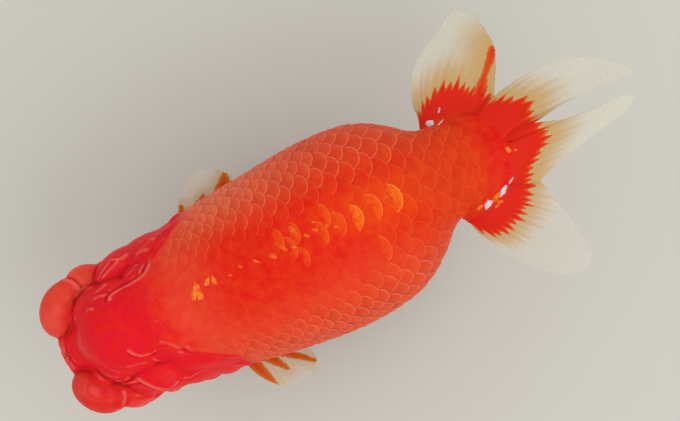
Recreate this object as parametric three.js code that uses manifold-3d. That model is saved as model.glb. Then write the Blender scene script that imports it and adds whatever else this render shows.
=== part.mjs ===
// A ranchu goldfish, life size, swimming level over a small oval display stand.
// Millimetres, +Z up. The nose points to -Y and the fish's left side is +X. The origin is the centre of
// the plinth's underside. Every solid is closed, and neighbours keep a hair-line seam.
import * as THREE from "three";
import { mergeVertices } from "three/addons/utils/BufferGeometryUtils.js";
import Module from "manifold-3d";

const wasm = await Module();
wasm.setup();

// ---------------------------------------------------------------- driving dimensions
// Fish coordinates: y runs back along the body from just before the nose, z up from the lowest point of
// the belly, x to the fish's left.
const BELLY_HEIGHT = 34; // belly above the floor
const SEAM = 0.3; // gap between neighbouring solids

// The body without its growths: half width, back and belly heights at each station down the fish.
const STATIONS = [
  { y: 6.6, half: 0.4, back: 27, belly: 25 },
  { y: 8.6, half: 5.6, back: 33, belly: 17.5 },
  { y: 13, half: 10.5, back: 38.5, belly: 12.5 },
  { y: 19, half: 14.5, back: 43, belly: 9.5 },
  { y: 27, half: 17.6, back: 46.8, belly: 7 },
  { y: 36, half: 20, back: 50.4, belly: 4.4 },
  { y: 47, half: 22.2, back: 54.4, belly: 2 },
  { y: 58, half: 23.8, back: 58, belly: 0.6 },
  { y: 70, half: 25.1, back: 60.9, belly: 0 },
  { y: 82, half: 26.1, back: 62, belly: 0.6 },
  { y: 92, half: 25.9, back: 60.9, belly: 2.6 },
  { y: 100, half: 24.7, back: 57.8, belly: 5.6 },
  { y: 106, half: 22.1, back: 54, belly: 8.6 },
  { y: 111, half: 18.6, back: 49.9, belly: 11.4 },
  { y: 116, half: 14.4, back: 45.3, belly: 13.8 },
  { y: 121, half: 12.9, back: 40.8, belly: 15.4 },
  { y: 126, half: 12, back: 37, belly: 17.4 },
  { y: 131, half: 10, back: 33.9, belly: 20 },
  { y: 135, half: 6.6, back: 31.7, belly: 23.4 },
  { y: 137.5, half: 0.4, back: 28.8, belly: 27.2 },
];
const WIDEST_LEVEL = 0.46; // height of the widest line, as a share of the body's depth
const BACK_SQUARENESS = 2.35; // superellipse exponent of the broad back
const BELLY_SQUARENESS = 2.1; // and of the rounder belly
const BODY_SEGMENTS = 24; // round the body
const BODY_RINGS = 29; // along it

// The swimming fish bends a little: how far its middle line is carried to the left.
const SWAY = [
  { y: 0, shift: -0.5 },
  { y: 25, shift: 0 },
  { y: 45, shift: 0.4 },
  { y: 75, shift: 1.1 },
  { y: 98, shift: 0.5 },
  { y: 112, shift: -0.4 },
  { y: 121, shift: -1.3 },
  { y: 132, shift: -1.2 },
  { y: 147, shift: -2.3 },
  { y: 178, shift: -1.2 },
];

// Where the body is parted into head, trunk and tail stem.
const NECK_Y = 45;
const STEM_Y = 112;
const REAR_Y = 140;

// Fleshy growths of the head as ellipsoids: centre, radii and fineness, given for the left side.
const NOSE_LOBE = { at: [11.15, 11.3, 28.5], radii: [7.9, 7.9, 8.1], detail: 3 };
const CROWN = [
  { at: [0, 27, 39.5], radii: [13.4, 14.6, 13], detail: 3 },
  { at: [0, 38, 42], radii: [13.8, 15, 12.6], detail: 3 },
];
const TEMPLE = { at: [11.8, 29, 37], radii: [8.2, 11.4, 8.6] };
const CHEEK = [
  { at: [12.2, 19.4, 18.6], radii: [8.4, 9.2, 8.6] },
  { at: [12.5, 29.6, 19.6], radii: [8, 9, 9.4] },
];
const GILL_COVER = [
  { at: [10.6, 38.6, 27], radii: [11.3, 13.6, 17] },
  { at: [13.6, 31.5, 32.4], radii: [7.2, 9.5, 8.4] },
];
const CHIN = { at: [0, 17, 14.6], radii: [9, 8.8, 6.2] };
const UPPER_LIP = { at: [0, 7.8, 24.6], radii: [6.2, 3.2, 2.1], detail: 1 };
const LOWER_LIP = { at: [0, 8.6, 20.2], radii: [5.2, 3, 1.9], detail: 1 };
const EYE = { at: [15.4, 22, 29], radii: [4.1, 4.1, 4.1] };

// Fins: each is a fan of guide rays, from one edge to the other, as root, bend and tip.
const FIN_EDGE = 0.6; // thickness of the outer part of every fin
const FLESHY_SHARE = 0.35; // share of a fin's length that is thickened towards its root
const PECTORAL_RAYS = [
  { root: [19, 47.6, 15.6], bend: [27, 48.6, 15.4], tip: [31.2, 54.2, 13.8] },
  { root: [19, 48.8, 15], bend: [27.4, 52, 14.8], tip: [33, 59.2, 12.6] },
  { root: [18.8, 50, 14.4], bend: [26.4, 55.4, 14], tip: [31.6, 63.6, 11.6] },
  { root: [18.4, 51.2, 13.6], bend: [24.4, 58, 12.8], tip: [28.4, 66.2, 10.8] },
  { root: [17.8, 52.2, 12.8], bend: [21, 58.4, 11.4], tip: [22.6, 65.4, 9.8] },
];
const PELVIC_RAYS = [
  { root: [7.6, 63.4, 2.4], bend: [11.6, 68, -2.6], tip: [15.6, 78, -6.6] },
  { root: [7.1, 65, 2.2], bend: [11, 72, -3], tip: [15.6, 83.4, -7.6] },
  { root: [6.4, 66.5, 2], bend: [9.6, 74.4, -3], tip: [12.6, 86, -7] },
  { root: [5.6, 67.8, 2], bend: [7.2, 74, -1.8], tip: [8.2, 82.4, -4.4] },
];
const ANAL_RAYS = [
  { root: [3.6, 105.4, 10.6], bend: [4.8, 108.6, 4.4], tip: [6.6, 116.4, 0.6] },
  { root: [3.4, 107.2, 11.4], bend: [4.8, 113, 5], tip: [7, 122, 1.6] },
  { root: [3.2, 108.9, 12.2], bend: [4.4, 116, 7.4], tip: [6.4, 125, 5.2] },
  { root: [3, 110.4, 13], bend: [3.9, 116, 10.2], tip: [4.8, 122, 9] },
];
// The inner tail lobes, from the cleft outwards. The left one is carried more on edge.
const TAIL_INNER_RAYS = {
  right: [
    { root: [0.25, 134, 30.4], bend: [0.25, 141, 33], tip: [0.3, 146.8, 35.6] },
    { root: [0.8, 134, 30.4], bend: [1.4, 146, 34.2], tip: [1.3, 159, 39.6] },
    { root: [1.5, 134, 30.4], bend: [3.2, 157, 38.6], tip: [0.7, 175.2, 45] },
    { root: [3.6, 133.6, 30], bend: [7.5, 155, 37.2], tip: [5.5, 172.8, 43.6] },
    { root: [5.6, 133, 29.5], bend: [11, 151, 35.5], tip: [10.2, 166.5, 41] },
    { root: [7.6, 132, 29], bend: [12.5, 146, 33], tip: [13, 158.5, 37] },
    { root: [9, 131, 28.4], bend: [11.8, 140, 31], tip: [12.9, 149, 33.2] },
    { root: [9.3, 130.8, 28.3], bend: [10.8, 135.6, 29.4], tip: [11.7, 139.9, 30.6] },
  ],
  left: [
    { root: [0.25, 134, 30.4], bend: [0.25, 141, 33], tip: [0.3, 146.8, 35.6] },
    { root: [0.8, 134, 30.4], bend: [1.8, 145, 33.8], tip: [3.3, 157, 38.8] },
    { root: [1.5, 134, 30.4], bend: [4.4, 155, 38.2], tip: [3.3, 171.6, 43.6] },
    { root: [3.6, 133.6, 30], bend: [6.8, 154, 37.4], tip: [6.2, 172, 43] },
    { root: [5.6, 133, 29.5], bend: [9, 151, 35.8], tip: [8.2, 167, 41] },
    { root: [7.6, 132, 29], bend: [10.6, 145, 33.2], tip: [10.2, 157, 36.8] },
    { root: [9, 131, 28.4], bend: [11.6, 139, 31], tip: [12.6, 147.5, 33.2] },
    { root: [9.3, 130.8, 28.3], bend: [12, 136, 29.6], tip: [14.6, 141.4, 30.8] },
  ],
};
// The outer tail lobes, from the inner lobe to the leading edge. The left one is spread wider.
const TAIL_OUTER_RAYS = {
  right: [
    { root: [9.7, 130.2, 27.9], bend: [11.2, 135.2, 29], tip: [12.3, 139.4, 30] },
    { root: [10.6, 128.8, 27], bend: [15, 136.8, 28.4], tip: [21.6, 146.2, 28.6] },
    { root: [11.4, 127, 26], bend: [19.5, 135.8, 28], tip: [28, 147, 27.4] },
    { root: [12, 125, 24.8], bend: [24, 131, 27.6], tip: [34.4, 146, 25.6] },
    { root: [12.2, 122.8, 23.5], bend: [28, 124, 26.8], tip: [39, 142.2, 23] },
    { root: [12.2, 120.4, 22.2], bend: [29.5, 117.2, 25.8], tip: [36.6, 136.4, 22.4] },
  ],
  left: [
    { root: [9.7, 130.2, 27.9], bend: [12.4, 135.6, 29.1], tip: [15.2, 140.9, 30.2] },
    { root: [10.6, 128.8, 27], bend: [17, 137, 28.6], tip: [24.6, 144.6, 28.4] },
    { root: [11.4, 127, 26], bend: [20.8, 136, 28.2], tip: [31, 146, 27] },
    { root: [12, 125, 24.8], bend: [25.6, 132, 27.6], tip: [38.2, 146.8, 25.2] },
    { root: [12.2, 122.8, 23.5], bend: [28.5, 126.5, 26.8], tip: [41.6, 143.4, 23.4] },
    { root: [12.2, 120.4, 22.2], bend: [25.5, 119.2, 25.8], tip: [40.2, 138.2, 22.6] },
  ],
};

// The stand: an oval plinth and two rods.
const PLINTH = { halfLength: 46, halfWidth: 23, height: 8, edge: 1.2, middle: 72 };
const ROD = { radius: 2.2, foot: 4.6, footHeight: 1.6, top: 8 };
const ROD_PLACES = { front: 54, rear: 90 };

// ---------------------------------------------------------------- colours
const FLESH = { color: 0xe2401f, roughness: 0.35, metalness: 0 };
const GROWTH = { color: 0xdd2020, roughness: 0.4, metalness: 0 };
const FIN = { color: 0xe9d9bd, roughness: 0.4, metalness: 0 };
const EYEBALL = { color: 0x1a1410, roughness: 0.1, metalness: 0 };
const STAINED_WOOD = { color: 0x3a2c22, roughness: 0.4, metalness: 0 };
const STEEL = { color: 0xb9bcbf, roughness: 0.3, metalness: 1 };

// ---------------------------------------------------------------- solids and booleans

/** Turns a closed three.js geometry into a solid that can be joined and cut. */
function toSolid(geometry) {
  const bare = geometry.clone();
  bare.deleteAttribute("normal");
  bare.deleteAttribute("uv");
  const merged = mergeVertices(bare, 1e-4);
  const vertProperties = new Float32Array(merged.attributes.position.array);
  const triVerts = new Uint32Array(merged.index.array);
  const solid = new wasm.Manifold(new wasm.Mesh({ numProp: 3, vertProperties, triVerts }));
  if (solid.volume() > 0) return solid;
  for (let i = 0; i < triVerts.length; i += 3) {
    [triVerts[i + 1], triVerts[i + 2]] = [triVerts[i + 2], triVerts[i + 1]];
  }
  return new wasm.Manifold(new wasm.Mesh({ numProp: 3, vertProperties, triVerts }));
}

/** Turns a solid back into a geometry, keeping its largest piece. */
function toGeometry(solid) {
  const [largest] = solid.decompose().sort((a, b) => b.volume() - a.volume());
  const { vertProperties, triVerts, numProp, numVert } = largest.getMesh();
  const positions = new Float32Array(numVert * 3);
  for (let i = 0; i < numVert; i++) {
    positions.set(vertProperties.subarray(i * numProp, i * numProp + 3), i * 3);
  }
  const geometry = new THREE.BufferGeometry();
  geometry.setAttribute("position", new THREE.BufferAttribute(positions, 3));
  geometry.setIndex(new THREE.BufferAttribute(triVerts, 1));
  geometry.computeVertexNormals();
  return geometry;
}

const join = (solids) => solids.reduce((all, one) => all.add(one));
const cut = (solid, cutters) => cutters.reduce((left, one) => left.subtract(one), solid);

/** An ellipsoid growth, swollen by grow; side is 1 for left, -1 for right. */
function growth({ at, radii, detail = 2 }, side = 1, grow = 0) {
  const geometry = new THREE.IcosahedronGeometry(1, detail);
  geometry.scale(...radii.map((r) => r + grow));
  geometry.translate(at[0] * side, at[1], at[2]);
  return toSolid(geometry);
}

/** A slab of space between two y values, wide enough to hold the body. */
function slab(from, to) {
  const reach = 120;
  const geometry = new THREE.BoxGeometry(reach, to - from, reach);
  geometry.translate(0, (from + to) / 2, reach / 4);
  return toSolid(geometry);
}

/** One column of a table at y, on a smooth curve through the rows. */
function smooth(table, y, key) {
  const last = table.length - 1;
  let i = 0;
  while (i < last - 1 && y > table[i + 1].y) i++;
  const [a, b] = [table[i], table[i + 1]];
  const span = b.y - a.y;
  const t = THREE.MathUtils.clamp((y - a.y) / span, 0, 1);
  const slope = (k) => {
    const [before, after] = [table[Math.max(k - 1, 0)], table[Math.min(k + 1, last)]];
    return ((after[key] - before[key]) / (after.y - before.y)) * span;
  };
  const leave = t * (1 - t) ** 2 * slope(i) - t ** 2 * (1 - t) * slope(i + 1);
  return THREE.MathUtils.lerp(a[key], b[key], t ** 2 * (3 - 2 * t)) + leave;
}

/** Carries a straight geometry into the fish's bend. */
function sway(geometry) {
  const place = geometry.attributes.position;
  for (let i = 0; i < place.count; i++) {
    place.setX(i, place.getX(i) + smooth(SWAY, place.getY(i), "shift"));
  }
  geometry.computeVertexNormals();
  return geometry;
}

// ---------------------------------------------------------------- body

/** A point of the body's section at y; angle 0 is the fish's left, a quarter turn is the back. */
function sectionPoint(y, angle, grow) {
  const [half, back, belly] = ["half", "back", "belly"].map((key) => smooth(STATIONS, y, key));
  const level = THREE.MathUtils.lerp(belly, back, WIDEST_LEVEL);
  const [c, s] = [Math.cos(angle), Math.sin(angle)];
  const power = 2 / (s >= 0 ? BACK_SQUARENESS : BELLY_SQUARENESS);
  const reach = s >= 0 ? back - level : level - belly;
  return [
    (half + grow) * Math.sign(c) * Math.abs(c) ** power,
    level + (reach + grow) * Math.sign(s) * Math.abs(s) ** power,
  ];
}

/** The whole body as one solid: a sphere whose poles are the snout and the end of the tail stem. */
function bodySolid(grow = 0) {
  const spans = STATIONS.length - 1;
  const geometry = new THREE.SphereGeometry(1, BODY_SEGMENTS, BODY_RINGS);
  const place = geometry.attributes.position;
  for (let i = 0; i < place.count; i++) {
    const [x, axis, z] = [place.getX(i), place.getY(i), place.getZ(i)];
    const along = (Math.acos(THREE.MathUtils.clamp(axis, -1, 1)) / Math.PI) * spans;
    const k = Math.min(Math.floor(along), spans - 1);
    const y = THREE.MathUtils.lerp(STATIONS[k].y, STATIONS[k + 1].y, along - k);
    const [left, top] = sectionPoint(y, Math.atan2(z, x), grow);
    const onPole = Math.hypot(x, z) < 1e-6;
    const [, level] = sectionPoint(y, 0, 0);
    const stretch = along < 1 ? -grow : along > spans - 1 ? grow : 0;
    place.setXYZ(i, onPole ? 0 : left, y + stretch, onPole ? level : top);
  }
  return toSolid(geometry);
}

// ---------------------------------------------------------------- fins

/** A fin on one side: a curved sheet through its guide rays, thick at the root, thin at the edge. */
function finSolid(rays, side, { across, along, rootThickness }) {
  const curveThrough = (key) => {
    const points = rays.map((ray) => new THREE.Vector3(ray[key][0] * side, ray[key][1], ray[key][2]));
    return new THREE.CatmullRomCurve3(points, false, "catmullrom", 0.5);
  };
  const [roots, bends, tips] = ["root", "bend", "tip"].map(curveThrough);
  const sheet = (p, q) => {
    const ray = new THREE.QuadraticBezierCurve3(roots.getPoint(p), bends.getPoint(p), tips.getPoint(p));
    return ray.getPoint(q);
  };
  const geometry = new THREE.BoxGeometry(1, 1, 1, across, along, 1);
  const place = geometry.attributes.position;
  const step = 1e-3;
  for (let i = 0; i < place.count; i++) {
    const [p, q, face] = [place.getX(i) + 0.5, place.getY(i) + 0.5, place.getZ(i)];
    const [p0, q0] = [Math.min(p, 1 - step), Math.min(q, 1 - step)];
    const corner = sheet(p0, q0);
    const sideways = sheet(p0 + step, q0).sub(corner);
    const outwards = sheet(p0, q0 + step).sub(corner);
    const normal = sideways.cross(outwards).normalize();
    const flesh = Math.max(0, 1 - q / FLESHY_SHARE) ** 1.5;
    const thickness = THREE.MathUtils.lerp(FIN_EDGE, rootThickness, flesh);
    const here = sheet(p, q).addScaledVector(normal, face * thickness);
    place.setXYZ(i, here.x, here.y, here.z);
  }
  return toSolid(geometry);
}

// ---------------------------------------------------------------- assembly

const SIDES = { left: 1, right: -1 };
const model = new THREE.Group();
const clearBody = bodySolid(SEAM);

/** Adds one named sub-part to the model. */
function add(name, geometry, material) {
  const mesh = new THREE.Mesh(geometry, new THREE.MeshStandardMaterial(material));
  mesh.name = name;
  model.add(mesh);
}

/** Adds one straight solid of the fish, carried into its bend. */
const addToFish = (name, solid, material) => add(name, sway(toGeometry(solid)), material);

/** Adds the eyes and the head's growths: caps over the body, each cut clear of those before it. */
function addHeadGrowths() {
  const sides = Object.values(SIDES);
  const sockets = sides.map((side) => growth(EYE, side, SEAM));
  const taken = [clearBody, ...sockets];
  const addGrowth = (name, lumps) => {
    addToFish(name, cut(join(lumps(0)), taken), GROWTH);
    taken.push(...lumps(SEAM));
  };
  for (const [name, side] of Object.entries(SIDES)) {
    addToFish(`eye_${name}`, growth(EYE, side), EYEBALL);
    addGrowth(`nose_lobe_${name}`, (swell) => [growth(NOSE_LOBE, side, swell)]);
  }
  addGrowth("lip_upper", (swell) => [growth(UPPER_LIP, 1, swell)]);
  addGrowth("lip_lower", (swell) => [growth(LOWER_LIP, 1, swell)]);
  addGrowth("head_crown", (swell) => [
    ...CROWN.map((lump) => growth(lump, 1, swell)),
    ...sides.map((side) => growth(TEMPLE, side, swell)),
  ]);
  for (const [name, side] of Object.entries(SIDES)) {
    addGrowth(`cheek_${name}`, (swell) => CHEEK.map((lump) => growth(lump, side, swell)));
    addGrowth(`gill_cover_${name}`, (swell) => GILL_COVER.map((lump) => growth(lump, side, swell)));
  }
  addGrowth("chin", (swell) => [growth(CHIN, 1, swell)]);
  return sockets;
}

/** Adds the head, trunk and tail stem: the body parted in three, with sockets for the eyes. */
function addBody(sockets) {
  const body = bodySolid();
  addToFish("head", cut(body.intersect(slab(0, NECK_Y - SEAM / 2)), sockets), FLESH);
  addToFish("trunk", body.intersect(slab(NECK_Y + SEAM / 2, STEM_Y - SEAM / 2)), FLESH);
  addToFish("tail_stem", body.intersect(slab(STEM_Y + SEAM / 2, REAR_Y)), FLESH);
}

/** Adds the ten fin pieces, each cut clear of the body. */
function addFins() {
  const small = { across: 5, along: 4, rootThickness: 1.8 };
  const tail = { across: 8, along: 5, rootThickness: 3 };
  for (const [name, side] of Object.entries(SIDES)) {
    const pieces = {
      pectoral_fin: finSolid(PECTORAL_RAYS, side, small),
      pelvic_fin: finSolid(PELVIC_RAYS, side, small),
      anal_fin: finSolid(ANAL_RAYS, side, small),
      tail_inner: finSolid(TAIL_INNER_RAYS[name], side, tail),
      tail_outer: finSolid(TAIL_OUTER_RAYS[name], side, tail),
    };
    for (const [piece, solid] of Object.entries(pieces)) {
      addToFish(`${piece}_${name}`, cut(solid, [clearBody]), FIN);
    }
  }
}

/** Adds the oval plinth and the two rods, whose tops stop just short of the belly. */
function addStand() {
  const { halfLength, halfWidth, height, edge, middle } = PLINTH;
  const oval = new THREE.Shape();
  oval.absellipse(0, 0, halfWidth - edge, halfLength - edge, 0, 2 * Math.PI);
  const plinth = new THREE.ExtrudeGeometry(oval, {
    depth: height - 2 * edge,
    bevelSize: edge,
    bevelThickness: edge,
    bevelSegments: 1,
    curveSegments: 18,
  });
  plinth.translate(0, middle, edge - BELLY_HEIGHT);
  add("stand_base", toGeometry(toSolid(plinth)), STAINED_WOOD);

  const floor = height - BELLY_HEIGHT;
  const outline = [
    [0, floor],
    [ROD.foot, floor],
    [ROD.foot, floor + ROD.footHeight],
    [ROD.radius, floor + 2 * ROD.footHeight],
    [ROD.radius, ROD.top],
    [0, ROD.top],
  ].map(([r, z]) => new THREE.Vector2(r, z));
  const clearBelly = toSolid(sway(toGeometry(clearBody)));
  for (const [name, y] of Object.entries(ROD_PLACES)) {
    const rod = new THREE.LatheGeometry(outline, 12);
    rod.rotateX(Math.PI / 2);
    rod.translate(0, y, 0);
    add(`stand_rod_${name}`, toGeometry(cut(toSolid(rod), [clearBelly])), STEEL);
  }
}

addBody(addHeadGrowths());
addFins();
addStand();
model.position.set(0, -PLINTH.middle, BELLY_HEIGHT);

export default model;
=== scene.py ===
"""A ranchu goldfish, life size, held over a small display stand.

One skin covers the body and the growths of the head. Solid scales lie over it, and the eyes, the rayed
fins, the painted glints (thin bright patches of painted reflection) and the stand are pieces of their
own. Tables are in millimetres, in the fish's own straight frame: y runs back from just before the nose,
z up from the lowest point of the belly, x to the fish's left. `Body.to_frame` bends them into the
swimming pose and puts them in the frame, in metres.
"""

import logging
import math
import random
from collections.abc import Callable
from dataclasses import dataclass, field, replace
from enum import Enum

import bmesh
import bpy
import numpy as np
from mathutils import Matrix, Vector, noise
from mathutils.bvhtree import BVHTree


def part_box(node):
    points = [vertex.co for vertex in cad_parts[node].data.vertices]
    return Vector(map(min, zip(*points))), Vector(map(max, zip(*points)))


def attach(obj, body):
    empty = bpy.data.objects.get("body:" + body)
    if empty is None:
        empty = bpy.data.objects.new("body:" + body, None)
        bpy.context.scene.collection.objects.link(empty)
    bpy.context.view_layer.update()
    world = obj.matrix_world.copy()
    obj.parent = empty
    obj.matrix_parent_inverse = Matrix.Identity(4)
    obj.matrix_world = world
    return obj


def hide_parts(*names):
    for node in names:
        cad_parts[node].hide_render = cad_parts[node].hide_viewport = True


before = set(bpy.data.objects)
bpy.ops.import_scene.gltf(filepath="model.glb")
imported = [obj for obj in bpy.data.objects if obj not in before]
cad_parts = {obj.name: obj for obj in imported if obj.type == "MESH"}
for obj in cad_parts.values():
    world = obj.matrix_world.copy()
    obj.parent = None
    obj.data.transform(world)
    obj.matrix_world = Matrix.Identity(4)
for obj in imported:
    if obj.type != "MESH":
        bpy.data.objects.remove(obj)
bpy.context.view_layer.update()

LOG = logging.getLogger("goldfish")
MM = 0.001
BELLY_HEIGHT = 34.0  # belly above the floor
MIDDLE_Y = 72.0  # the plinth's middle, where the frame has its origin
SKIN_DEPTH = 0.45  # how far the scaled skin lies inside the body's outline
GROWTH_DEPTH = 0.1  # how far the bare growths lie inside theirs
GILL_SLOPE = 0.62  # how fast the gill covers' edges run outwards, going back
FAR = 1e3  # further off than any part of the fish
Row = tuple[float, ...]


class Side(Enum):
    """A side of the fish, with its sign along x."""

    LEFT = 1
    RIGHT = -1

    @property
    def label(self) -> str:
        """The side's name as the nodes spell it."""
        return self.name.lower()


# ---------------------------------------------------------------- shared measures


@dataclass(frozen=True)
class Table:
    """Rows of numbers down the fish, y first, read on a smooth curve."""

    rows: tuple[Row, ...]

    def at(self, y: np.ndarray | float, column: int = 1) -> np.ndarray:
        """Reads one column.

        Args:
            y: Where to read, one place or many.
            column: Which column of the rows.

        Returns:
            The column's value at each place.
        """
        table = np.array(self.rows)
        ys, values = table[:, 0], table[:, column]
        last = len(ys) - 1
        low, high = np.maximum(np.arange(last + 1) - 1, 0), np.minimum(np.arange(last + 1) + 1, last)
        slopes = (values[high] - values[low]) / (ys[high] - ys[low])
        place = np.asarray(y, float)
        i = np.clip(np.searchsorted(ys, place) - 1, 0, last - 1)
        span = ys[i + 1] - ys[i]
        t = np.clip((place - ys[i]) / span, 0, 1)
        leave = t * (1 - t) ** 2 * slopes[i] - t**2 * (1 - t) * slopes[i + 1]
        return values[i] + (values[i + 1] - values[i]) * t**2 * (3 - 2 * t) + leave * span


def step(value: np.ndarray, low: float, high: float) -> np.ndarray:
    """A smooth rise from 0 at low to 1 at high."""
    t = np.clip((value - low) / (high - low), 0, 1)
    return t * t * (3 - 2 * t)


@dataclass(frozen=True)
class Body:
    """The fish's body without its growths, as superellipse sections down its length."""

    # y, half width, back, belly
    stations: Table = Table((
        (6.6, 0.4, 27, 25), (8.6, 5.6, 33, 17.5), (13, 10.5, 38.5, 12.5), (19, 14.5, 43, 9.5),
        (27, 17.6, 46.8, 7), (36, 20, 50.4, 4.4), (47, 22.2, 54.4, 2), (58, 23.8, 58, 0.6),
        (70, 25.1, 60.9, 0), (82, 26.1, 62, 0.6), (92, 25.9, 60.9, 2.6), (100, 24.7, 57.8, 5.6),
        (106, 22.1, 54, 8.6), (111, 18.6, 49.9, 11.4), (116, 14.4, 45.3, 13.8), (121, 12.9, 40.8, 15.4),
        (126, 12, 37, 17.4), (131, 10, 33.9, 20), (135, 6.6, 31.7, 23.4), (137.5, 0.4, 28.8, 27.2),
    ))
    sway: Table = Table((
        (0, -0.5), (25, 0), (45, 0.4), (75, 1.1), (98, 0.5), (112, -0.4), (121, -1.3), (132, -1.2),
        (147, -2.3), (178, -1.2),
    ))
    widest_level: float = 0.46
    back_squareness: float = 2.35
    belly_squareness: float = 2.1
    snout: float = 6.6
    stem_end: float = 137.5
    end_cap: float = 0.3  # the outline is measured this far inside its ends
    least: float = 0.05  # and is nowhere narrower than this

    def section(self, y: np.ndarray, angle: np.ndarray) -> np.ndarray:
        """Gives points of the skin under the scales.

        Args:
            y: Where along the fish.
            angle: Round the section; 0 is the left, a quarter turn is the back.

        Returns:
            One row of x, y, z for each place.
        """
        half, back, belly = (self.stations.at(y, column) for column in (1, 2, 3))
        level = belly + (back - belly) * self.widest_level
        c, s = np.cos(angle), np.sin(angle)
        power = 2 / np.where(s >= 0, self.back_squareness, self.belly_squareness)
        reach = np.where(s >= 0, back - level, level - belly)
        x = np.maximum(half - SKIN_DEPTH, self.least) * np.sign(c) * np.abs(c) ** power
        z = level + np.maximum(reach - SKIN_DEPTH, self.least) * np.sign(s) * np.abs(s) ** power
        return np.stack([x, np.broadcast_to(y, x.shape), z], axis=-1)

    def _filling(self, points: np.ndarray) -> np.ndarray:
        """Says how far out places are within their sections.

        Args:
            points: The places.

        Returns:
            Each place's share of the way out: 1 on the skin.
        """
        x, y, z = points.T
        half, back, belly = (self.stations.at(y, column) for column in (1, 2, 3))
        level = belly + (back - belly) * self.widest_level
        upper = z >= level
        power = np.where(upper, self.back_squareness, self.belly_squareness)
        reach = np.where(upper, back - level, level - belly)
        wide = np.abs(x) / np.maximum(half - SKIN_DEPTH, self.least)
        high = np.abs(z - level) / np.maximum(reach - SKIN_DEPTH, self.least)
        return (wide**power + high**power + 1e-12) ** (1 / power)

    def distance(self, points: np.ndarray) -> np.ndarray:
        """Measures places against the body.

        Args:
            points: The places.

        Returns:
            How far outside each place is, less than 0 inside.
        """
        past_ends = np.maximum(self.snout - points[:, 1], points[:, 1] - self.stem_end)
        points = points.copy()
        points[:, 1] = np.clip(points[:, 1], self.snout + self.end_cap, self.stem_end - self.end_cap)
        share = self._filling(points)
        slope = gradient(self._filling, points, 0.05)
        steepness = np.maximum(np.linalg.norm(slope[:, ::2], axis=1), 0.02)
        taper = slope[:, 1] / (steepness * np.maximum(share, 0.1))
        past_side = (share - 1) / (steepness * np.sqrt(1 + taper**2))
        round_corner = np.hypot(np.maximum(past_side, 0), past_ends)
        return np.where(past_ends > 0, round_corner, np.maximum(past_side, past_ends))

    def to_frame(self, points: np.ndarray) -> np.ndarray:
        """Bends straight points into the pose and puts them in the frame.

        Args:
            points: Places in the straight frame, in millimetres.

        Returns:
            The same places in the frame, in metres.
        """
        placed = np.array(points, float)
        placed[:, 0] += self.sway.at(placed[:, 1])
        placed += (0, -MIDDLE_Y, BELLY_HEIGHT)
        return placed * MM


BODY = Body()


# ---------------------------------------------------------------- mesh helpers


def new_object(name: str, data: bpy.types.ID) -> bpy.types.Object:
    """Links a new object.

    Args:
        name: Its name.
        data: The mesh, camera or lamp that it shows.

    Returns:
        The object, at the origin.
    """
    made = bpy.data.objects.new(name, data)
    bpy.context.scene.collection.objects.link(made)
    return made


def finish_bmesh(bm: bmesh.types.BMesh, name: str) -> bpy.types.Mesh:
    """Turns a bmesh into a smooth-shaded mesh and frees it.

    Args:
        bm: The bmesh.
        name: The mesh's name.

    Returns:
        The mesh.
    """
    mesh = bpy.data.meshes.new(name)
    bm.to_mesh(mesh)
    bm.free()
    mesh.shade_smooth()
    return mesh


def thicken(bm: bmesh.types.BMesh, way: Row) -> None:
    """Makes a flat shape a closed slab.

    Args:
        bm: The flat shape.
        way: Which way, and how far, its copy moves.
    """
    raised = bmesh.ops.extrude_face_region(bm, geom=bm.faces[:], use_keep_orig=True)
    moved = [item for item in raised["geom"] if isinstance(item, bmesh.types.BMVert)]
    bmesh.ops.translate(bm, verts=moved, vec=way)


def read_points(mesh: bpy.types.Mesh) -> np.ndarray:
    """Reads where a mesh's vertices are.

    Args:
        mesh: The mesh.

    Returns:
        One row of x, y, z for each vertex.
    """
    flat = np.zeros(len(mesh.vertices) * 3)
    mesh.vertices.foreach_get("co", flat)
    return flat.reshape(-1, 3)


def write_points(mesh: bpy.types.Mesh, points: np.ndarray) -> None:
    """Moves a mesh's vertices."""
    mesh.vertices.foreach_set("co", points.astype(np.float32).ravel())
    mesh.update()


def read_normals(mesh: bpy.types.Mesh) -> np.ndarray:
    """Reads which way a mesh's vertices face.

    Args:
        mesh: The mesh.

    Returns:
        One row of x, y, z for each vertex.
    """
    flat = np.zeros(len(mesh.vertices) * 3, np.float32)
    mesh.vertex_normals.foreach_get("vector", flat)
    return flat.reshape(-1, 3).astype(float)


def write_shade(mesh: bpy.types.Mesh, name: str, values: np.ndarray) -> None:
    """Stores a number for each vertex, which a material reads by its name."""
    layer = mesh.attributes.new(name, "FLOAT", "POINT")
    layer.data.foreach_set("value", values.astype(np.float32))


def relax(points: np.ndarray, edges: np.ndarray, rounds: int) -> np.ndarray:
    """Draws each point towards its neighbours' middle.

    Args:
        points: The points.
        edges: The two ends of each edge, as numbers of points.
        rounds: How many times over.

    Returns:
        The points after that.
    """
    a, b = edges.T
    count = np.bincount(edges.ravel(), minlength=len(points))[:, None]
    for _ in range(rounds):
        columns = [
            np.bincount(a, points[b, k], len(points)) + np.bincount(b, points[a, k], len(points))
            for k in range(3)
        ]
        points = 0.5 * points + 0.5 * np.stack(columns, axis=1) / count
    return points


def gradient(measure: Callable[[np.ndarray], np.ndarray], points: np.ndarray, nudge: float) -> np.ndarray:
    """Finds how fast a measure grows along x, y and z.

    Args:
        measure: Gives a number for each place.
        points: The places.
        nudge: How far to step to either side.

    Returns:
        One row of three slopes for each place.
    """
    ways = np.eye(3) * nudge
    return np.stack([measure(points + way) - measure(points - way) for way in ways], axis=1) / (2 * nudge)


def unit(ways: np.ndarray) -> np.ndarray:
    """The same directions, each of length 1."""
    return ways / np.maximum(np.linalg.norm(ways, axis=-1, keepdims=True), 1e-9)


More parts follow.
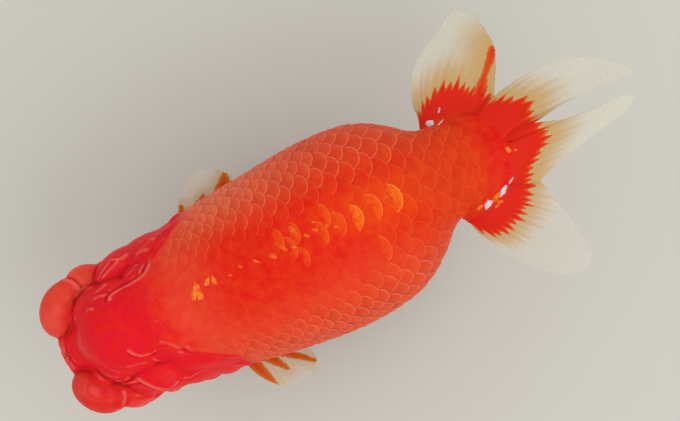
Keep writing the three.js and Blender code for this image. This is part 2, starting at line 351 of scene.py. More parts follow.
def beside(points: np.ndarray, start: np.ndarray, span: np.ndarray) -> tuple[np.ndarray, np.ndarray]:
    """Measures places against a straight stretch.

    Args:
        points: The places.
        start: The stretch's first end.
        span: The way from there to its other end.

    Returns:
        How far along the stretch each place's nearest point is, 0 to 1, and the way from there to the place.
    """
    share = np.clip((points - start) @ span / max(span @ span, 1e-9), 0, 1)
    return share, points - start - share[:, None] * span


def copies(template: bpy.types.Mesh, shapes: np.ndarray) -> bpy.types.Mesh:
    """Joins copies of one mesh.

    Args:
        template: The mesh to copy.
        shapes: A 4 by 4 matrix for each copy.

    Returns:
        One mesh of all the copies, each put in its place.
    """
    bm = bmesh.new()
    for _ in shapes:
        bm.from_mesh(template)
    mesh = finish_bmesh(bm, template.name)
    placed = np.einsum("nij,vj->nvi", shapes[:, :3, :3], read_points(template)) + shapes[:, None, :3, 3]
    write_points(mesh, placed.reshape(-1, 3))
    return mesh


def put_on(piece: bpy.types.Object, slot: str, material: bpy.types.Material, *nodes: str) -> None:
    """Rides a finished piece on the fish and dresses it.

    Args:
        piece: The piece.
        slot: The record's material slot, which is not used.
        material: Its finish.
        *nodes: The CAD nodes that it stands for.
    """
    piece.data.materials.clear()
    piece.data.materials.append(material)
    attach(piece, "root")
    if nodes:
        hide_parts(*nodes)
    triangles = sum(len(face.vertices) - 2 for face in piece.data.polygons)
    LOG.info("%s: %d triangles", piece.name, triangles)


# ---------------------------------------------------------------- the wen: growths of the head


@dataclass(frozen=True)
class Lump:
    """An ellipsoid of flesh, turned about its own middle."""

    at: Row
    radii: Row
    turn: Matrix = field(default_factory=lambda: Matrix.Identity(3))
    tint: float = 0.0  # 1 on the smooth, more orange lobes

    def mirrored(self) -> "Lump":
        """The same lump on the fish's other side."""
        flip = Matrix.Diagonal((-1, 1, 1))
        return replace(self, at=(-self.at[0], *self.at[1:]), turn=flip @ self.turn @ flip)

    def box(self) -> tuple[np.ndarray, np.ndarray]:
        """A box that holds the lump."""
        reach = max(self.radii)
        return np.array(self.at) - reach, np.array(self.at) + reach

    def distance(self, points: np.ndarray) -> np.ndarray:
        """Measures places against the lump.

        Args:
            points: The places.

        Returns:
            How far outside each place is, less than 0 inside.
        """
        local = (points - np.array(self.at)) @ np.array(self.turn)
        radii = np.array(self.radii) - GROWTH_DEPTH
        share = np.linalg.norm(local / radii, axis=1)
        slope = np.linalg.norm(local / radii**2, axis=1)
        return share * (share - 1) / np.maximum(slope, 1e-6)

    def balls(self) -> list[Matrix]:
        """What turns a ball of radius 1 into the lump."""
        return [Matrix.Translation(self.at) @ self.turn.to_4x4() @ Matrix.Diagonal((*self.radii, 1))]


@dataclass(frozen=True)
class Rope:
    """A soft rope of flesh along a chain of points."""

    points: np.ndarray
    radii: np.ndarray
    tint: float = 0.0

    def box(self) -> tuple[np.ndarray, np.ndarray]:
        """A box that holds the rope."""
        reach = self.radii.max()
        return self.points.min(0) - reach, self.points.max(0) + reach

    def distance(self, points: np.ndarray) -> np.ndarray:
        """Measures places against the rope.

        Args:
            points: The places.

        Returns:
            How far outside each place is, less than 0 inside.
        """
        nearest = np.full(len(points), FAR)
        for i, span in enumerate(np.diff(self.points, axis=0)):
            share, off = beside(points, self.points[i], span)
            radius = self.radii[i] + (self.radii[i + 1] - self.radii[i]) * share
            nearest = np.minimum(nearest, np.linalg.norm(off, axis=1) - radius)
        return nearest

    def balls(self) -> list[Matrix]:
        """What turns balls of radius 1 into a string that fills the rope."""
        places = zip(self.points, self.radii)
        return [Matrix.Translation(Vector(place)) @ Matrix.Scale(radius, 4) for place, radius in places]


@dataclass(frozen=True)
class FinRoot:
    """The scaled flesh from which a fin's rays grow, as ropes laid side by side."""

    ropes: tuple[Rope, ...]

    def box(self) -> tuple[np.ndarray, np.ndarray]:
        """A box that holds the ropes."""
        lows, highs = zip(*(rope.box() for rope in self.ropes))
        return np.min(lows, axis=0), np.max(highs, axis=0)

    def distance(self, points: np.ndarray) -> np.ndarray:
        """How far outside the nearest rope each point is, less than 0 inside."""
        return np.min([rope.distance(points) for rope in self.ropes], axis=0)

    def balls(self) -> list[Matrix]:
        """What turns balls of radius 1 into strings that fill the ropes."""
        return [ball for rope in self.ropes for ball in rope.balls()]


Growth = Lump | Rope | FinRoot


@dataclass
class Flesh:
    """The body and its growths as one soft shape."""

    growths: list[Growth]
    softness: float = 0.36  # width of the blend where two of them meet
    stem_softness: float = 0.9  # and where the tail grows out of the stem
    stem_blend: Row = (112, 122)  # where along the fish one gives way to the other
    exponents: Row = (-150, 60)  # limits that keep the sums of the blend finite
    margin: float = 3.0  # how far round a growth its share is worked out
    above: float = 62.0  # where places seated from above start from
    drops: int = 60
    shifts: int = 8

    def shares(self, points: np.ndarray) -> tuple[np.ndarray, np.ndarray, np.ndarray]:
        """Measures the joined shape.

        Args:
            points: Places to measure.

        Returns:
            How far outside the flesh each place is, how much of it is growth, and how much is tinted.
        """
        at_stem = step(points[:, 1], *self.stem_blend)
        softness = self.softness + (self.stem_softness - self.softness) * at_stem
        total = np.exp(-np.clip(BODY.distance(points) / softness, *self.exponents))
        growth, tinted = np.zeros(len(points)), np.zeros(len(points))
        for form in self.growths:
            low, high = form.box()
            near = np.all((points > low - self.margin) & (points < high + self.margin), axis=1)
            if not near.any():
                continue
            part = np.exp(-np.clip(form.distance(points[near]) / softness[near], *self.exponents))
            total[near] += part
            if not isinstance(form, FinRoot):
                growth[near] += part
                tinted[near] += part * form.tint
        total = np.maximum(total, 1e-30)
        return -softness * np.log(total), growth / total, tinted / total

    def distance(self, points: np.ndarray) -> np.ndarray:
        """How far outside the flesh each point is, less than 0 inside."""
        return self.shares(points)[0]

    def normals(self, points: np.ndarray) -> np.ndarray:
        """The direction straight out of the flesh at each point."""
        return unit(gradient(self.distance, points, 0.1))

    def seat(self, points: np.ndarray) -> np.ndarray:
        """Moves places onto the flesh.

        Args:
            points: Rows of x and y, which drop from above, or of x, y and z, which move to the nearest place.

        Returns:
            A row of x, y, z on the flesh for each.
        """
        seated = np.array(points, float)
        if seated.shape[1] == 2:
            seated = np.column_stack([seated, np.full(len(seated), self.above)])
            for _ in range(self.drops):
                seated[:, 2] -= np.clip(self.distance(seated), -2, 2) * 0.8
            return seated
        for _ in range(self.shifts):
            seated -= self.normals(seated) * np.clip(self.distance(seated), -2, 2)[:, None]
        return seated

    def grounds(self, groups: list[np.ndarray]) -> list[tuple[np.ndarray, np.ndarray]]:
        """Seats several groups of points at once.

        Args:
            groups: Points for seat, some groups as x, y and some as x, y, z.

        Returns:
            For each group its seated points and the direction out of the flesh at each.
        """
        found: dict[int, tuple[np.ndarray, np.ndarray]] = {}
        for width in (2, 3):
            mine = [i for i, group in enumerate(groups) if group.shape[1] == width]
            if mine:
                points = self.seat(np.vstack([groups[i] for i in mine]))
                ends = np.cumsum([len(groups[i]) for i in mine])[:-1]
                found |= dict(zip(mine, zip(np.split(points, ends), np.split(self.normals(points), ends))))
        return [found[i] for i in range(len(groups))]


def traced(route: tuple[Row, ...]) -> np.ndarray:
    """Draws a smooth curve through a route.

    Args:
        route: Rows of x and y, or of x, y and z.

    Returns:
        Rows close together along the curve.
    """
    stops = np.array(route, float)
    knots = np.linspace(0, 1, len(stops))
    shares = np.linspace(0, 1, 6 * len(stops))
    return np.column_stack([Table(tuple(zip(knots, column))).at(shares) for column in stops.T])


@dataclass(frozen=True)
class Pad:
    """A rounded pad of the wen, seated on the flesh: its place, half length, half width and turn in plan."""

    at: Row
    half_length: float
    half_width: float
    turn: float
    proud: float = 0.9
    thickness: float = 3.6
    tint: float = 0.0

    def spots(self) -> np.ndarray:
        """The pad's middle."""
        return np.array([self.at], float)

    def laid(self, seated: np.ndarray, out: np.ndarray) -> Lump:
        """Makes the pad a lump, flat against the flesh.

        Args:
            seated: Its middle on the flesh, as the one row.
            out: The direction out of the flesh there, as the one row.

        Returns:
            The lump.
        """
        up = Vector(out[0])
        turn = math.radians(self.turn)
        lengthwise = Vector((math.sin(turn), math.cos(turn), 0.0))
        lengthwise = (lengthwise - up * lengthwise.dot(up)).normalized()
        axes = Matrix((lengthwise.cross(up), lengthwise, up)).transposed()
        at = tuple(Vector(seated[0]) - up * (self.thickness - self.proud))
        return Lump(at, (self.half_width, self.half_length, self.thickness), axes, self.tint)


@dataclass(frozen=True)
class Lip:
    """A lip laid on the flesh: its line, the direction out of the flesh along it, its height and width."""

    line: np.ndarray
    out: np.ndarray
    height: float
    width: float
    crest: Row = (0.55, 1.5, 0.6)  # in widths: where it stands, and its outer and inner breadth
    groove: Row = (-0.5, 0.45, 0.9)  # and the same for the groove beside it
    fullness: float = 0.85
    deepest: float = 0.8  # the groove's depth, at most, and how it grows with the lip's height
    deepening: float = 1.5

    def heights(self, points: np.ndarray) -> np.ndarray:
        """Says how the lip moves the flesh.

        Args:
            points: Places on the flesh.

        Returns:
            How far each is raised, less than 0 where it is sunk.
        """
        raised = np.zeros(len(points))
        reach = 4 * self.width
        near = np.all((points > self.line.min(0) - reach) & (points < self.line.max(0) + reach), axis=1)
        mine = points[near]
        best, across, along = np.full(len(mine), FAR), np.zeros(len(mine)), np.zeros(len(mine))
        spans = np.diff(self.line, axis=0)
        for i, span in enumerate(spans):
            share, off = beside(mine, self.line[i], span)
            far = np.linalg.norm(off, axis=1)
            closer = far < best
            best[closer] = far[closer]
            across[closer] = (off @ np.cross(self.out[i], unit(span)))[closer]
            along[closer] = (i + share[closer]) / len(spans)
        length = np.linalg.norm(spans, axis=1).sum()
        fading = [step(part * length, 0, 2 * self.width) for part in (along, 1 - along)]
        crest, groove = (self._ridge(across / self.width, *numbers) for numbers in (self.crest, self.groove))
        depth = min(self.deepest, self.deepening * self.height)
        shape = (crest - depth * groove) * step(reach - best, 0, self.width)
        raised[near] = self.fullness * self.height * fading[0] * fading[1] * shape
        return raised

    @staticmethod
    def _ridge(across: np.ndarray, middle: float, beyond: float, before: float) -> np.ndarray:
        """A rounded ridge, with its own breadth on each side of its middle."""
        return np.exp(-(((across - middle) / np.where(across > middle, beyond, before)) ** 2))


@dataclass(frozen=True)
class Rim:
    """Where one lobe of the wen laps over the next: the lobe lies left of the route, seen from outside."""

    route: tuple[Row, ...]
    height: float = 0.4
    width: float = 0.75

    def mirrored(self) -> "Rim":
        """The same rim on the fish's other side."""
        return replace(self, route=tuple((-point[0], *point[1:]) for point in reversed(self.route)))

    def spots(self) -> np.ndarray:
        """Places along the rim."""
        return traced(self.route)

    def laid(self, seated: np.ndarray, out: np.ndarray) -> Lip:
        """The rim as a lip, from its seated places and the direction out of the flesh at each."""
        return Lip(seated, out, self.height, self.width)


def lay(forms: list[Pad | Rim], base: Flesh) -> list[Growth | Lip]:
    """Lays pads or rims on a flesh, all at once.

    Args:
        forms: The pads or rims.
        base: The flesh under them.

    Returns:
        A lump for each pad and a lip for each rim.
    """
    grounds = base.grounds([form.spots() for form in forms])
    return [form.laid(*ground) for form, ground in zip(forms, grounds)]


@dataclass(frozen=True)
class Eye:
    """An eye's place and size."""

    at: Row = (15.4, 22.0, 29.0)
    radius: float = 4.1
    aim: Row = (0.95, -0.28, 0.02)
    iris: float = 3.3
    pupil: float = 1.65


@dataclass
class Wen:
    """The raspberry-like growth over the head: lumps, pads, lapping rims and small tubercles."""

    eye: Eye = Eye()
    paired_lumps: tuple[Lump, ...] = (
        Lump(  # nose lobe
            (12.05, 10.2, 28.5), (7.9, 6.0, 8.1), Matrix.Rotation(math.radians(40), 3, "Z"), tint=1.0
        ),
        Lump((12.2, 19.4, 18.6), (8.0, 9.0, 8.2), tint=0.5),  # cheek
        Lump((12.5, 29.6, 19.6), (7.6, 9, 9.2)),
        Lump((10.6, 38.6, 27), (11.0, 12.6, 16.6)),  # gill cover
        Lump((13.4, 31.5, 32), (7.2, 9.5, 8.2)),
        Lump((15.2, 19.6, 33.5), (5.5, 6.4, 3.3), tint=1.0),  # brow, over the eye
        Lump((9.4, 14.0, 31.0), (4.2, 4.4, 5.6)),  # between the nose lobe and the crown
        Lump((3.0, 10.2, 28.4), (4.6, 5.0, 3.8)),  # muzzle's front
        Lump((13.9, 13.4, 31.2), (5.3, 5.3, 5.1), tint=1.0),  # nose lobe's back
    )
    single_lumps: tuple[Lump, ...] = (
        Lump((0, 27, 39.5), (13.4, 14.6, 13)),  # crown
        Lump((-6.7, 21.0, 38.0), (6.5, 7.7, 8.4)),
        Lump((6.5, 21.6, 38.0), (6.5, 7.7, 8.4)),
        Lump((-0.2, 18.6, 37.6), (6.6, 6.9, 8.0)),
        Lump((0, 38, 42), (13.8, 15, 12.6)),
        Lump((0, 15.2, 27.0), (6.4, 7.4, 7.0)),  # muzzle
        Lump((0, 17, 14.8), (8.6, 8.8, 6.0)),  # chin
        Lump((-12.4, 31.2, 35.2), (7.4, 9.6, 7.6)),  # right temple
        Lump((12.6, 28.8, 35.4), (7.4, 10.6, 7.8)),  # left temple
        Lump((14.0, 45.0, 27), (8.8, 6.6, 13)),  # the left gill cover stands out further
        Lump((13.6, 36.5, 29), (7.4, 8.0, 10)),
    )
    mouth: tuple[Rope, ...] = (
        Rope(
            np.array([
                (-5, 9.6, 21), (-3.6, 7.0, 23.2), (-1.4, 5.6, 24.2), (1.4, 5.6, 24.2), (3.6, 7.0, 23.2),
                (5, 9.6, 21),
            ]),
            np.array([0.9, 1.2, 1.3, 1.3, 1.2, 0.9]),
        ),
        Rope(
            np.array([
                (-4.4, 9.8, 20.4), (-2.8, 7.6, 20.3), (0, 6.7, 20.5), (2.8, 7.6, 20.3), (4.4, 9.8, 20.4),
            ]),
            np.array([0.9, 1.15, 1.2, 1.15, 0.9]),
        ),
    )
    pads: tuple[Pad, ...] = (
        Pad((15.1, 27.4), 6.0, 4.8, 16, proud=0.7, thickness=3.0),  # left temple
        Pad((16.9, 38.5), 7.0, 3.4, 14, proud=0.6, thickness=2.8),
        Pad((-15.2, 30.2), 5.6, 3.5, -14, proud=0.9, thickness=2.8),  # right temple
        Pad((-15.8, 38.0), 6.0, 2.8, -10, proud=0.8, thickness=2.5),
        Pad((-18.4, 44.0), 7.0, 2.5, -10, proud=0.6, thickness=2.4),
        Pad((-12.1, 33.0), 3.0, 1.9, -20, proud=0.5, thickness=1.8),
    )
    rims: tuple[Rim, ...] = (
        # two lips round the crown's front, and the wrinkles of the muzzle below them
        Rim(
            ((-12.0, 22.5, 39), (-12.7, 19.1, 37.6), (-11.3, 16.1, 36.2), (-7.0, 13.1, 36.4),
             (-2.8, 12.0, 37.6), (2.5, 11.8, 36.8), (7.7, 13.8, 36), (11.4, 16.6, 37.2), (12.5, 19.9, 38.4),
             (12.5, 22.6, 40)), 0.45, 0.75,
        ),
        Rim(
            ((-8.1, 15.0, 40.8), (-5.7, 14.1, 41.8), (-0.6, 13.7, 42.4), (3.9, 14.2, 41.4), (8.9, 15.7, 40.6),
             (11.8, 18.8, 41.5)), 0.2, 0.6,
        ),
        Rim(
            ((-11.9, 18.6, 39.4), (-10.2, 15.9, 39), (-6.4, 13.4, 39), (-1.9, 12.8, 39.6), (3.2, 12.9, 39),
             (8.2, 14.7, 38.6), (11.4, 17.6, 39.2)), 0.15, 0.45,
        ),
        Rim(((-7.4, 16.6, 42.4), (-3.4, 15.2, 43.2), (1.6, 15.0, 43.2), (6.2, 16.2, 42.6)), 0.13, 0.45),
        Rim(((2.6, 17.4, 44), (6.4, 18.2, 43.4), (9.4, 20.2, 42.6)), 0.14, 0.45),
        Rim(((-6.0, 10.6, 33), (-3.4, 9.3, 33), (-1.1, 8.9, 33), (1.2, 8.9, 33), (5.0, 10.3, 33)), 0.4, 0.8),
        Rim(((-4.4, 9.6, 30), (-1.4, 8.4, 29.4), (1.6, 8.4, 29.4), (4.4, 9.5, 30)), 0.35, 0.8),
        Rim(((-2.4, 10.5, 36), (0.7, 10.5, 36), (3.9, 11.2, 36)), 0.25, 0.7),
        # the crown's left edge in steps, and the left temple
        Rim(((11.6, 16.5), (13.5, 17.8), (14.3, 20.5), (14.9, 23.1)), 0.35, 0.7),
        Rim(((9.8, 20.9), (10.3, 22.5), (10.6, 24.0), (10.9, 25.6), (11.5, 27.3)), 0.16, 0.6),
        Rim(((5.5, 23.5), (7.5, 24.5), (8.6, 25.6), (9.4, 27.1), (9.6, 29.7), (9.3, 32.0)), 0.3, 0.7),
        Rim(((10.3, 28.0), (11.9, 29.3), (12.6, 30.6), (12.7, 32.9)), 0.26, 0.7),
        Rim(
            ((13.0, 21.9), (15.0, 22.8), (16.7, 24.0), (18.1, 25.3), (19.1, 26.7), (19.5, 28.6), (19.2, 30.8),
             (18.5, 32.6)), 0.42, 0.8,
        ),
        Rim(((18.5, 32.2), (19.0, 33.8), (19.2, 35.3), (18.9, 37.6), (19.0, 39.9)), 0.35, 0.7),
        Rim(((20.0, 40.2), (20.4, 42.2), (20.7, 43.9)), 0.25, 0.6),
        Rim(((17.5, 18.6), (18.5, 20.9), (19.3, 23.6)), 0.3, 0.7),
        # the nape's left edge, stepping back over the gill cover
        Rim(((7.7, 32.0), (8.6, 33.5), (9.9, 35.0), (11.9, 36.6)), 0.22, 0.7),
        Rim(((11.5, 34.9), (12.9, 36.4), (14.1, 38.2), (15.2, 39.8)), 0.22, 0.7),
        Rim(
            ((11.0, 37.4), (12.7, 38.4), (14.9, 40.6), (16.8, 43.1), (18.0, 45.2), (19.1, 48.1),
             (20.0, 51.2)),
            0.45, 0.9,
        ),
        # the crown's right edge and its run back along the gill cover
        Rim(
            ((-18.9, 51.2), (-17.4, 47.5), (-16.3, 44.5), (-15.1, 41.8), (-13.6, 39.4), (-11.6, 37.8),
             (-10.2, 36.2), (-9.6, 33.5), (-9.4, 30.1), (-9.2, 27.4), (-8.6, 25.5), (-7.1, 24.5)), 0.55, 0.9,
        ),
        Rim(((-12.6, 26.0), (-11.7, 24.2), (-11.6, 22.2)), 0.4, 0.7),
        Rim(((-9.3, 26.2), (-10.0, 23.8), (-10.0, 21.0)), 0.3, 0.6),
        Rim(((-7.2, 21.2), (-8.1, 19.9), (-8.0, 18.2)), 0.25, 0.5),
        Rim(((-13.3, 23.5), (-14.0, 21.8), (-14.1, 19.3)), 0.4, 0.6),
        Rim(((-13.5, 36.8), (-13.7, 34.5), (-13.7, 32.7), (-13.1, 31.1), (-11.4, 30.1)), 0.4, 0.7),
        Rim(((-13.3, 38.8), (-12.8, 37.1), (-11.6, 35.6), (-9.8, 34.5)), 0.35, 0.6),
        # rims of the right temple's lobes
        Rim(
            ((-17.9, 33.9), (-17.3, 31.8), (-18.0, 29.4), (-17.1, 27.6), (-15.6, 24.9), (-14.6, 23.4)),
            0.42, 0.75,
        ),
        Rim(((-17.0, 31.3), (-16.1, 28.7), (-15.2, 26.6), (-14.3, 24.4)), 0.26, 0.6),
        Rim(((-16.2, 40.7), (-16.6, 38.1), (-16.4, 35.8)), 0.26, 0.7),
        Rim(((-17.5, 43.3), (-18.8, 41.5), (-19.3, 39.3), (-19.1, 37.1)), 0.35, 0.7),
        # behind the nose lobes
        Rim(((-14.4, 18.2), (-15.8, 17.9), (-17.6, 17.0), (-19.0, 15.2), (-19.8, 13.2)), 0.4, 0.6),
        Rim(((19.2, 12.2), (18.4, 15.6), (16.6, 17.2), (14.7, 17.6)), 0.22, 0.7),
    )
    paired_rims: tuple[Rim, ...] = (
        # the gill cover's free edge, from below upwards
        Rim(
            ((6.0, 38.0, 7), (11.5, 44.4, 9), (16.5, 48.0, 14), (19.8, 50.2, 20), (21.3, 51.0, 27),
             (21.0, 50.6, 33), (19.6, 49.0, 38)), 0.8, 1.2,
        ),
        Rim(
            ((11.0, 26.5, 8), (16.5, 28.5, 12), (19.6, 29.5, 17), (20.4, 29.4, 23), (19.6, 28.0, 27.5)),
            0.5, 1.0,
        ),
        Rim(((14.0, 10.6, 22.4), (17.6, 14.2, 23.4), (19.2, 18.8, 23.2), (19.8, 24.4, 23.6)), 0.5, 1.0),
    )
    cobbles: int = 46
    tubercles: int = 150
    bumpy_pairs: tuple[int, ...] = (1, 2, 3)  # the lumps, by number, that the bumps are scattered over
    bumpy_single: int = 6
    bumpy_stretch: Row = (8, 46)  # and from where to where along the fish
    bumps_below: float = 28.0
    bare_round_eye: float = 1.6
    tries: int = 16  # places drawn for each bump that is wanted
    eyelid: float = 0.95

    def flesh(self) -> Flesh:
        """Builds the growths in layers, each seated on those before it.

        Returns:
            The body with all its growths.
        """
        lumps = [one for lump in self.paired_lumps for one in (lump, lump.mirrored())]
        base = Flesh([*lumps, *self.single_lumps, *self.mouth])
        cobbles = self._scattered(base, self.cobbles, (1.9, 3.2), 0.3)
        padded = Flesh(base.growths + lay([*self.pads, *cobbles], base))
        small = self._scattered(padded, self.tubercles, (0.9, 1.7), 0.36)
        return Flesh(padded.growths + lay(small, padded) + self._eyelids())

    def lips(self, flesh: Flesh) -> list[Lip]:
        """Lays every rim on the finished flesh."""
        paired = [one for rim in self.paired_rims for one in (rim, rim.mirrored())]
        return lay([*self.rims, *paired], flesh)

    def _scattered(self, base: Flesh, count: int, sizes: Row, proud: float) -> list[Pad]:
        """Scatters round bumps over the cheeks, gill covers and chin.

        Args:
            base: The flesh they sit on.
            count: How many at most.
            sizes: The smallest and the largest half width.
            proud: How far they stand out, as a share of their size.

        Returns:
            The bumps.
        """
        draw = np.random.default_rng(11 + count)
        hosts = [*(self.paired_lumps[i] for i in self.bumpy_pairs), self.single_lumps[self.bumpy_single]]
        tries = self.tries * count
        host = draw.integers(len(hosts), size=tries)
        ways = unit(draw.normal(size=(tries, 3)))
        spots = np.array([hosts[i].at for i in host]) + ways * np.array([hosts[i].radii for i in host])
        off_eye = np.linalg.norm(spots - np.array(self.eye.at), axis=1)
        spots[:, 0] *= draw.choice((1, -1), size=tries)
        y, z = spots[:, 1], spots[:, 2]
        half = draw.uniform(*sizes, size=tries)
        front, back = self.bumpy_stretch
        good = (off_eye > self.eye.radius + self.bare_round_eye + half) & (y > front) & (y < back)
        good &= z < self.bumps_below - 0.1 * np.maximum(y - 24, 0)
        good &= np.abs(base.distance(spots)) < 0.6
        return [
            Pad(tuple(spot), size * 1.15, size, 0, proud=proud * size, thickness=size)
            for spot, size in list(zip(spots[good], half[good]))[:count]
        ]

    def _eyelids(self) -> list[Growth]:
        """Makes a soft ring of flesh round each eye.

        Returns:
            The two rings.
        """
        made: list[Growth] = []
        for side in Side:
            mirror = Vector((side.value, 1, 1))
            aim = (Vector(self.eye.aim) * mirror).normalized()
            middle = Vector(self.eye.at) * mirror + aim * self.eye.radius * 0.5
            across = aim.cross(Vector((0, 0, 1))).normalized()
            up = across.cross(aim)
            reach = self.eye.radius + 0.25
            turns = np.linspace(0, 2 * math.pi, 33)
            ring = [middle + (across * math.cos(turn) + up * math.sin(turn)) * reach for turn in turns]
            made.append(Rope(np.array(ring), np.full(len(ring), self.eyelid), 0.6))
        return made


@dataclass
class Skin:
    """The one skin over the whole fish, remade from overlapping solids and drawn onto the soft shape."""

    flesh: Flesh
    lips: list[Lip]
    voxel: float = 0.8
    head_end: float = 51.0
    wrinkle: float = 0.13
    wrinkle_size: float = 3.4
    full_relief: float = 0.22  # height over its surroundings that counts as a full ridge
    surroundings: int = 14  # rounds of relaxing that give those surroundings
    longest_pull: float = 0.35
    pulls: int = 5

    def build(self) -> bpy.types.Object:
        """Makes the skin with the numbers that its material reads.

        Returns:
            The skin.
        """
        mesh = self._refined(self._remeshed())
        points = self._drawn(mesh)
        write_points(mesh, points)
        points = self._wrinkled(mesh, points)
        write_points(mesh, points)
        _, growth, tinted = self.flesh.shares(points)
        edges = np.zeros(len(mesh.edges) * 2, np.int64)
        mesh.edges.foreach_get("vertices", edges)
        relaxed = relax(points, edges.reshape(-1, 2), self.surroundings)
        relief = np.einsum("ij,ij->i", points - relaxed, read_normals(mesh))
        write_shade(mesh, "wen", growth)
        write_shade(mesh, "lobe", tinted)
        write_shade(mesh, "relief", np.clip(relief / self.full_relief, -1, 1))
        write_points(mesh, BODY.to_frame(points))
        return new_object("fish_skin", mesh)

    def _remeshed(self) -> bpy.types.Mesh:
        """Joins the body and its growths into one closed surface.

        Returns:
            The surface, with small steps in it.
        """
        bm = bmesh.new()
        bmesh.ops.create_uvsphere(bm, u_segments=96, v_segments=150, radius=1)
        for vert in bm.verts:
            x, y, z = vert.co
            share = math.acos(max(-1.0, min(1.0, z))) / math.pi
            along = BODY.snout + (BODY.stem_end - BODY.snout) * share
            vert.co = BODY.section(np.array(along), np.array(math.atan2(y, x)))
        bmesh.ops.recalc_face_normals(bm, faces=bm.faces)
        ball = bmesh.new()
        bmesh.ops.create_icosphere(ball, subdivisions=3, radius=1)
        shapes = [shape for form in self.flesh.growths for shape in form.balls()]
        bm.from_mesh(copies(finish_bmesh(ball, "ball"), np.array(shapes)))
        rough = new_object("rough_skin", finish_bmesh(bm, "rough_skin"))
        remesh = rough.modifiers.new("join", "REMESH")
        remesh.mode = "VOXEL"
        remesh.voxel_size = self.voxel
        graph = bpy.context.evaluated_depsgraph_get()
        joined = bpy.data.meshes.new_from_object(rough.evaluated_get(graph))
        bpy.data.objects.remove(rough)
        return joined

    def _refined(self, rough: bpy.types.Mesh) -> bpy.types.Mesh:
        """Smooths the joined surface and gives the head twice the fineness of the scaled trunk.

        Args:
            rough: The joined surface.

        Returns:
            The finer mesh.
        """
        bm = bmesh.new()
        bm.from_mesh(rough)
        axes = dict.fromkeys(("use_axis_x", "use_axis_y", "use_axis_z"), True)
        for _ in range(3):
            bmesh.ops.smooth_vert(bm, verts=bm.verts, factor=0.5, **axes)
        head = [edge for edge in bm.edges if all(vert.co.y < self.head_end for vert in edge.verts)]
        bmesh.ops.subdivide_edges(bm, edges=head, cuts=1, use_grid_fill=True)
        return finish_bmesh(bm, "fish_skin")

    def _drawn(self, mesh: bpy.types.Mesh) -> np.ndarray:
        """Draws the remade surface onto the soft shape.

        Args:
            mesh: The surface.

        Returns:
            Its points on the soft shape.
        """
        points, out = read_points(mesh), read_normals(mesh)
        for _ in range(self.pulls):
            away = np.clip(-self.flesh.distance(points), -self.longest_pull, self.longest_pull)
            points += out * away[:, None] * 0.9
        return points

    def _wrinkled(self, mesh: bpy.types.Mesh, points: np.ndarray) -> np.ndarray:
        """Works the lips and fine wrinkles into the growths.

        Args:
            mesh: The surface, for its normals.
            points: Its points in the straight frame.

        Returns:
            The points, moved.
        """
        _, growth, tinted = self.flesh.shares(points)
        heights = np.zeros(len(points))
        rough = growth * (1 - 0.8 * tinted) * step(52 - points[:, 1], 0, 12) * step(-points[:, 2], -38, -28)
        for i in np.nonzero(rough > 0.02)[0]:
            place = Vector(points[i] / self.wrinkle_size)
            warped = place + Vector((noise.noise(place), noise.noise(place + Vector((9, 0, 0))), 0)) * 0.7
            heights[i] = 0.8 * noise.noise(warped) + 0.3 * noise.noise(place * 3)
        heights *= rough * self.wrinkle
        for lip in self.lips:
            heights += lip.heights(points)
        return points + read_normals(mesh) * heights[:, None]


# ---------------------------------------------------------------- scales


@dataclass(frozen=True)
class ScaleLattice:
    """How the scales lie: y, spacing along a row, spacing of the rows, lift of the free edge."""

    rows: Table = Table((
        (38, 3.0, 2.2, 0.06), (46, 3.4, 2.5, 0.14), (60, 3.9, 3.0, 0.2), (75, 4.3, 3.4, 0.22),
        (90, 5.0, 3.7, 0.22), (104, 5.6, 4.0, 0.2), (114, 5.4, 3.7, 0.17), (122, 4.6, 3.1, 0.13),
        (128, 4.0, 2.7, 0.06), (134, 3.4, 2.4, 0.03),
    ))
    start: float = 39.5
    end: float = 129.5
    overlap: float = 0.8  # half a scale's length as a multiple of its spacing
    breadth: float = 1.08  # and half its width as a multiple of the rows' spacing
    glowing: tuple[Row, ...] = (  # x, y and strength of the few scales on the back with a painted glint, bright orange
        (0.1, 94.0, 0.9), (0.3, 99.1, 0.55), (0.1, 103.3, 1.0), (-3.8, 76.7, 0.3), (-0.8, 72.5, 0.35),
        (-10.9, 104.7, 0.25), (11.9, 95.9, 0.25), (2.3, 77.8, 0.3), (-1.1, 84.8, 0.35), (0.2, 88.5, 0.3),
    )


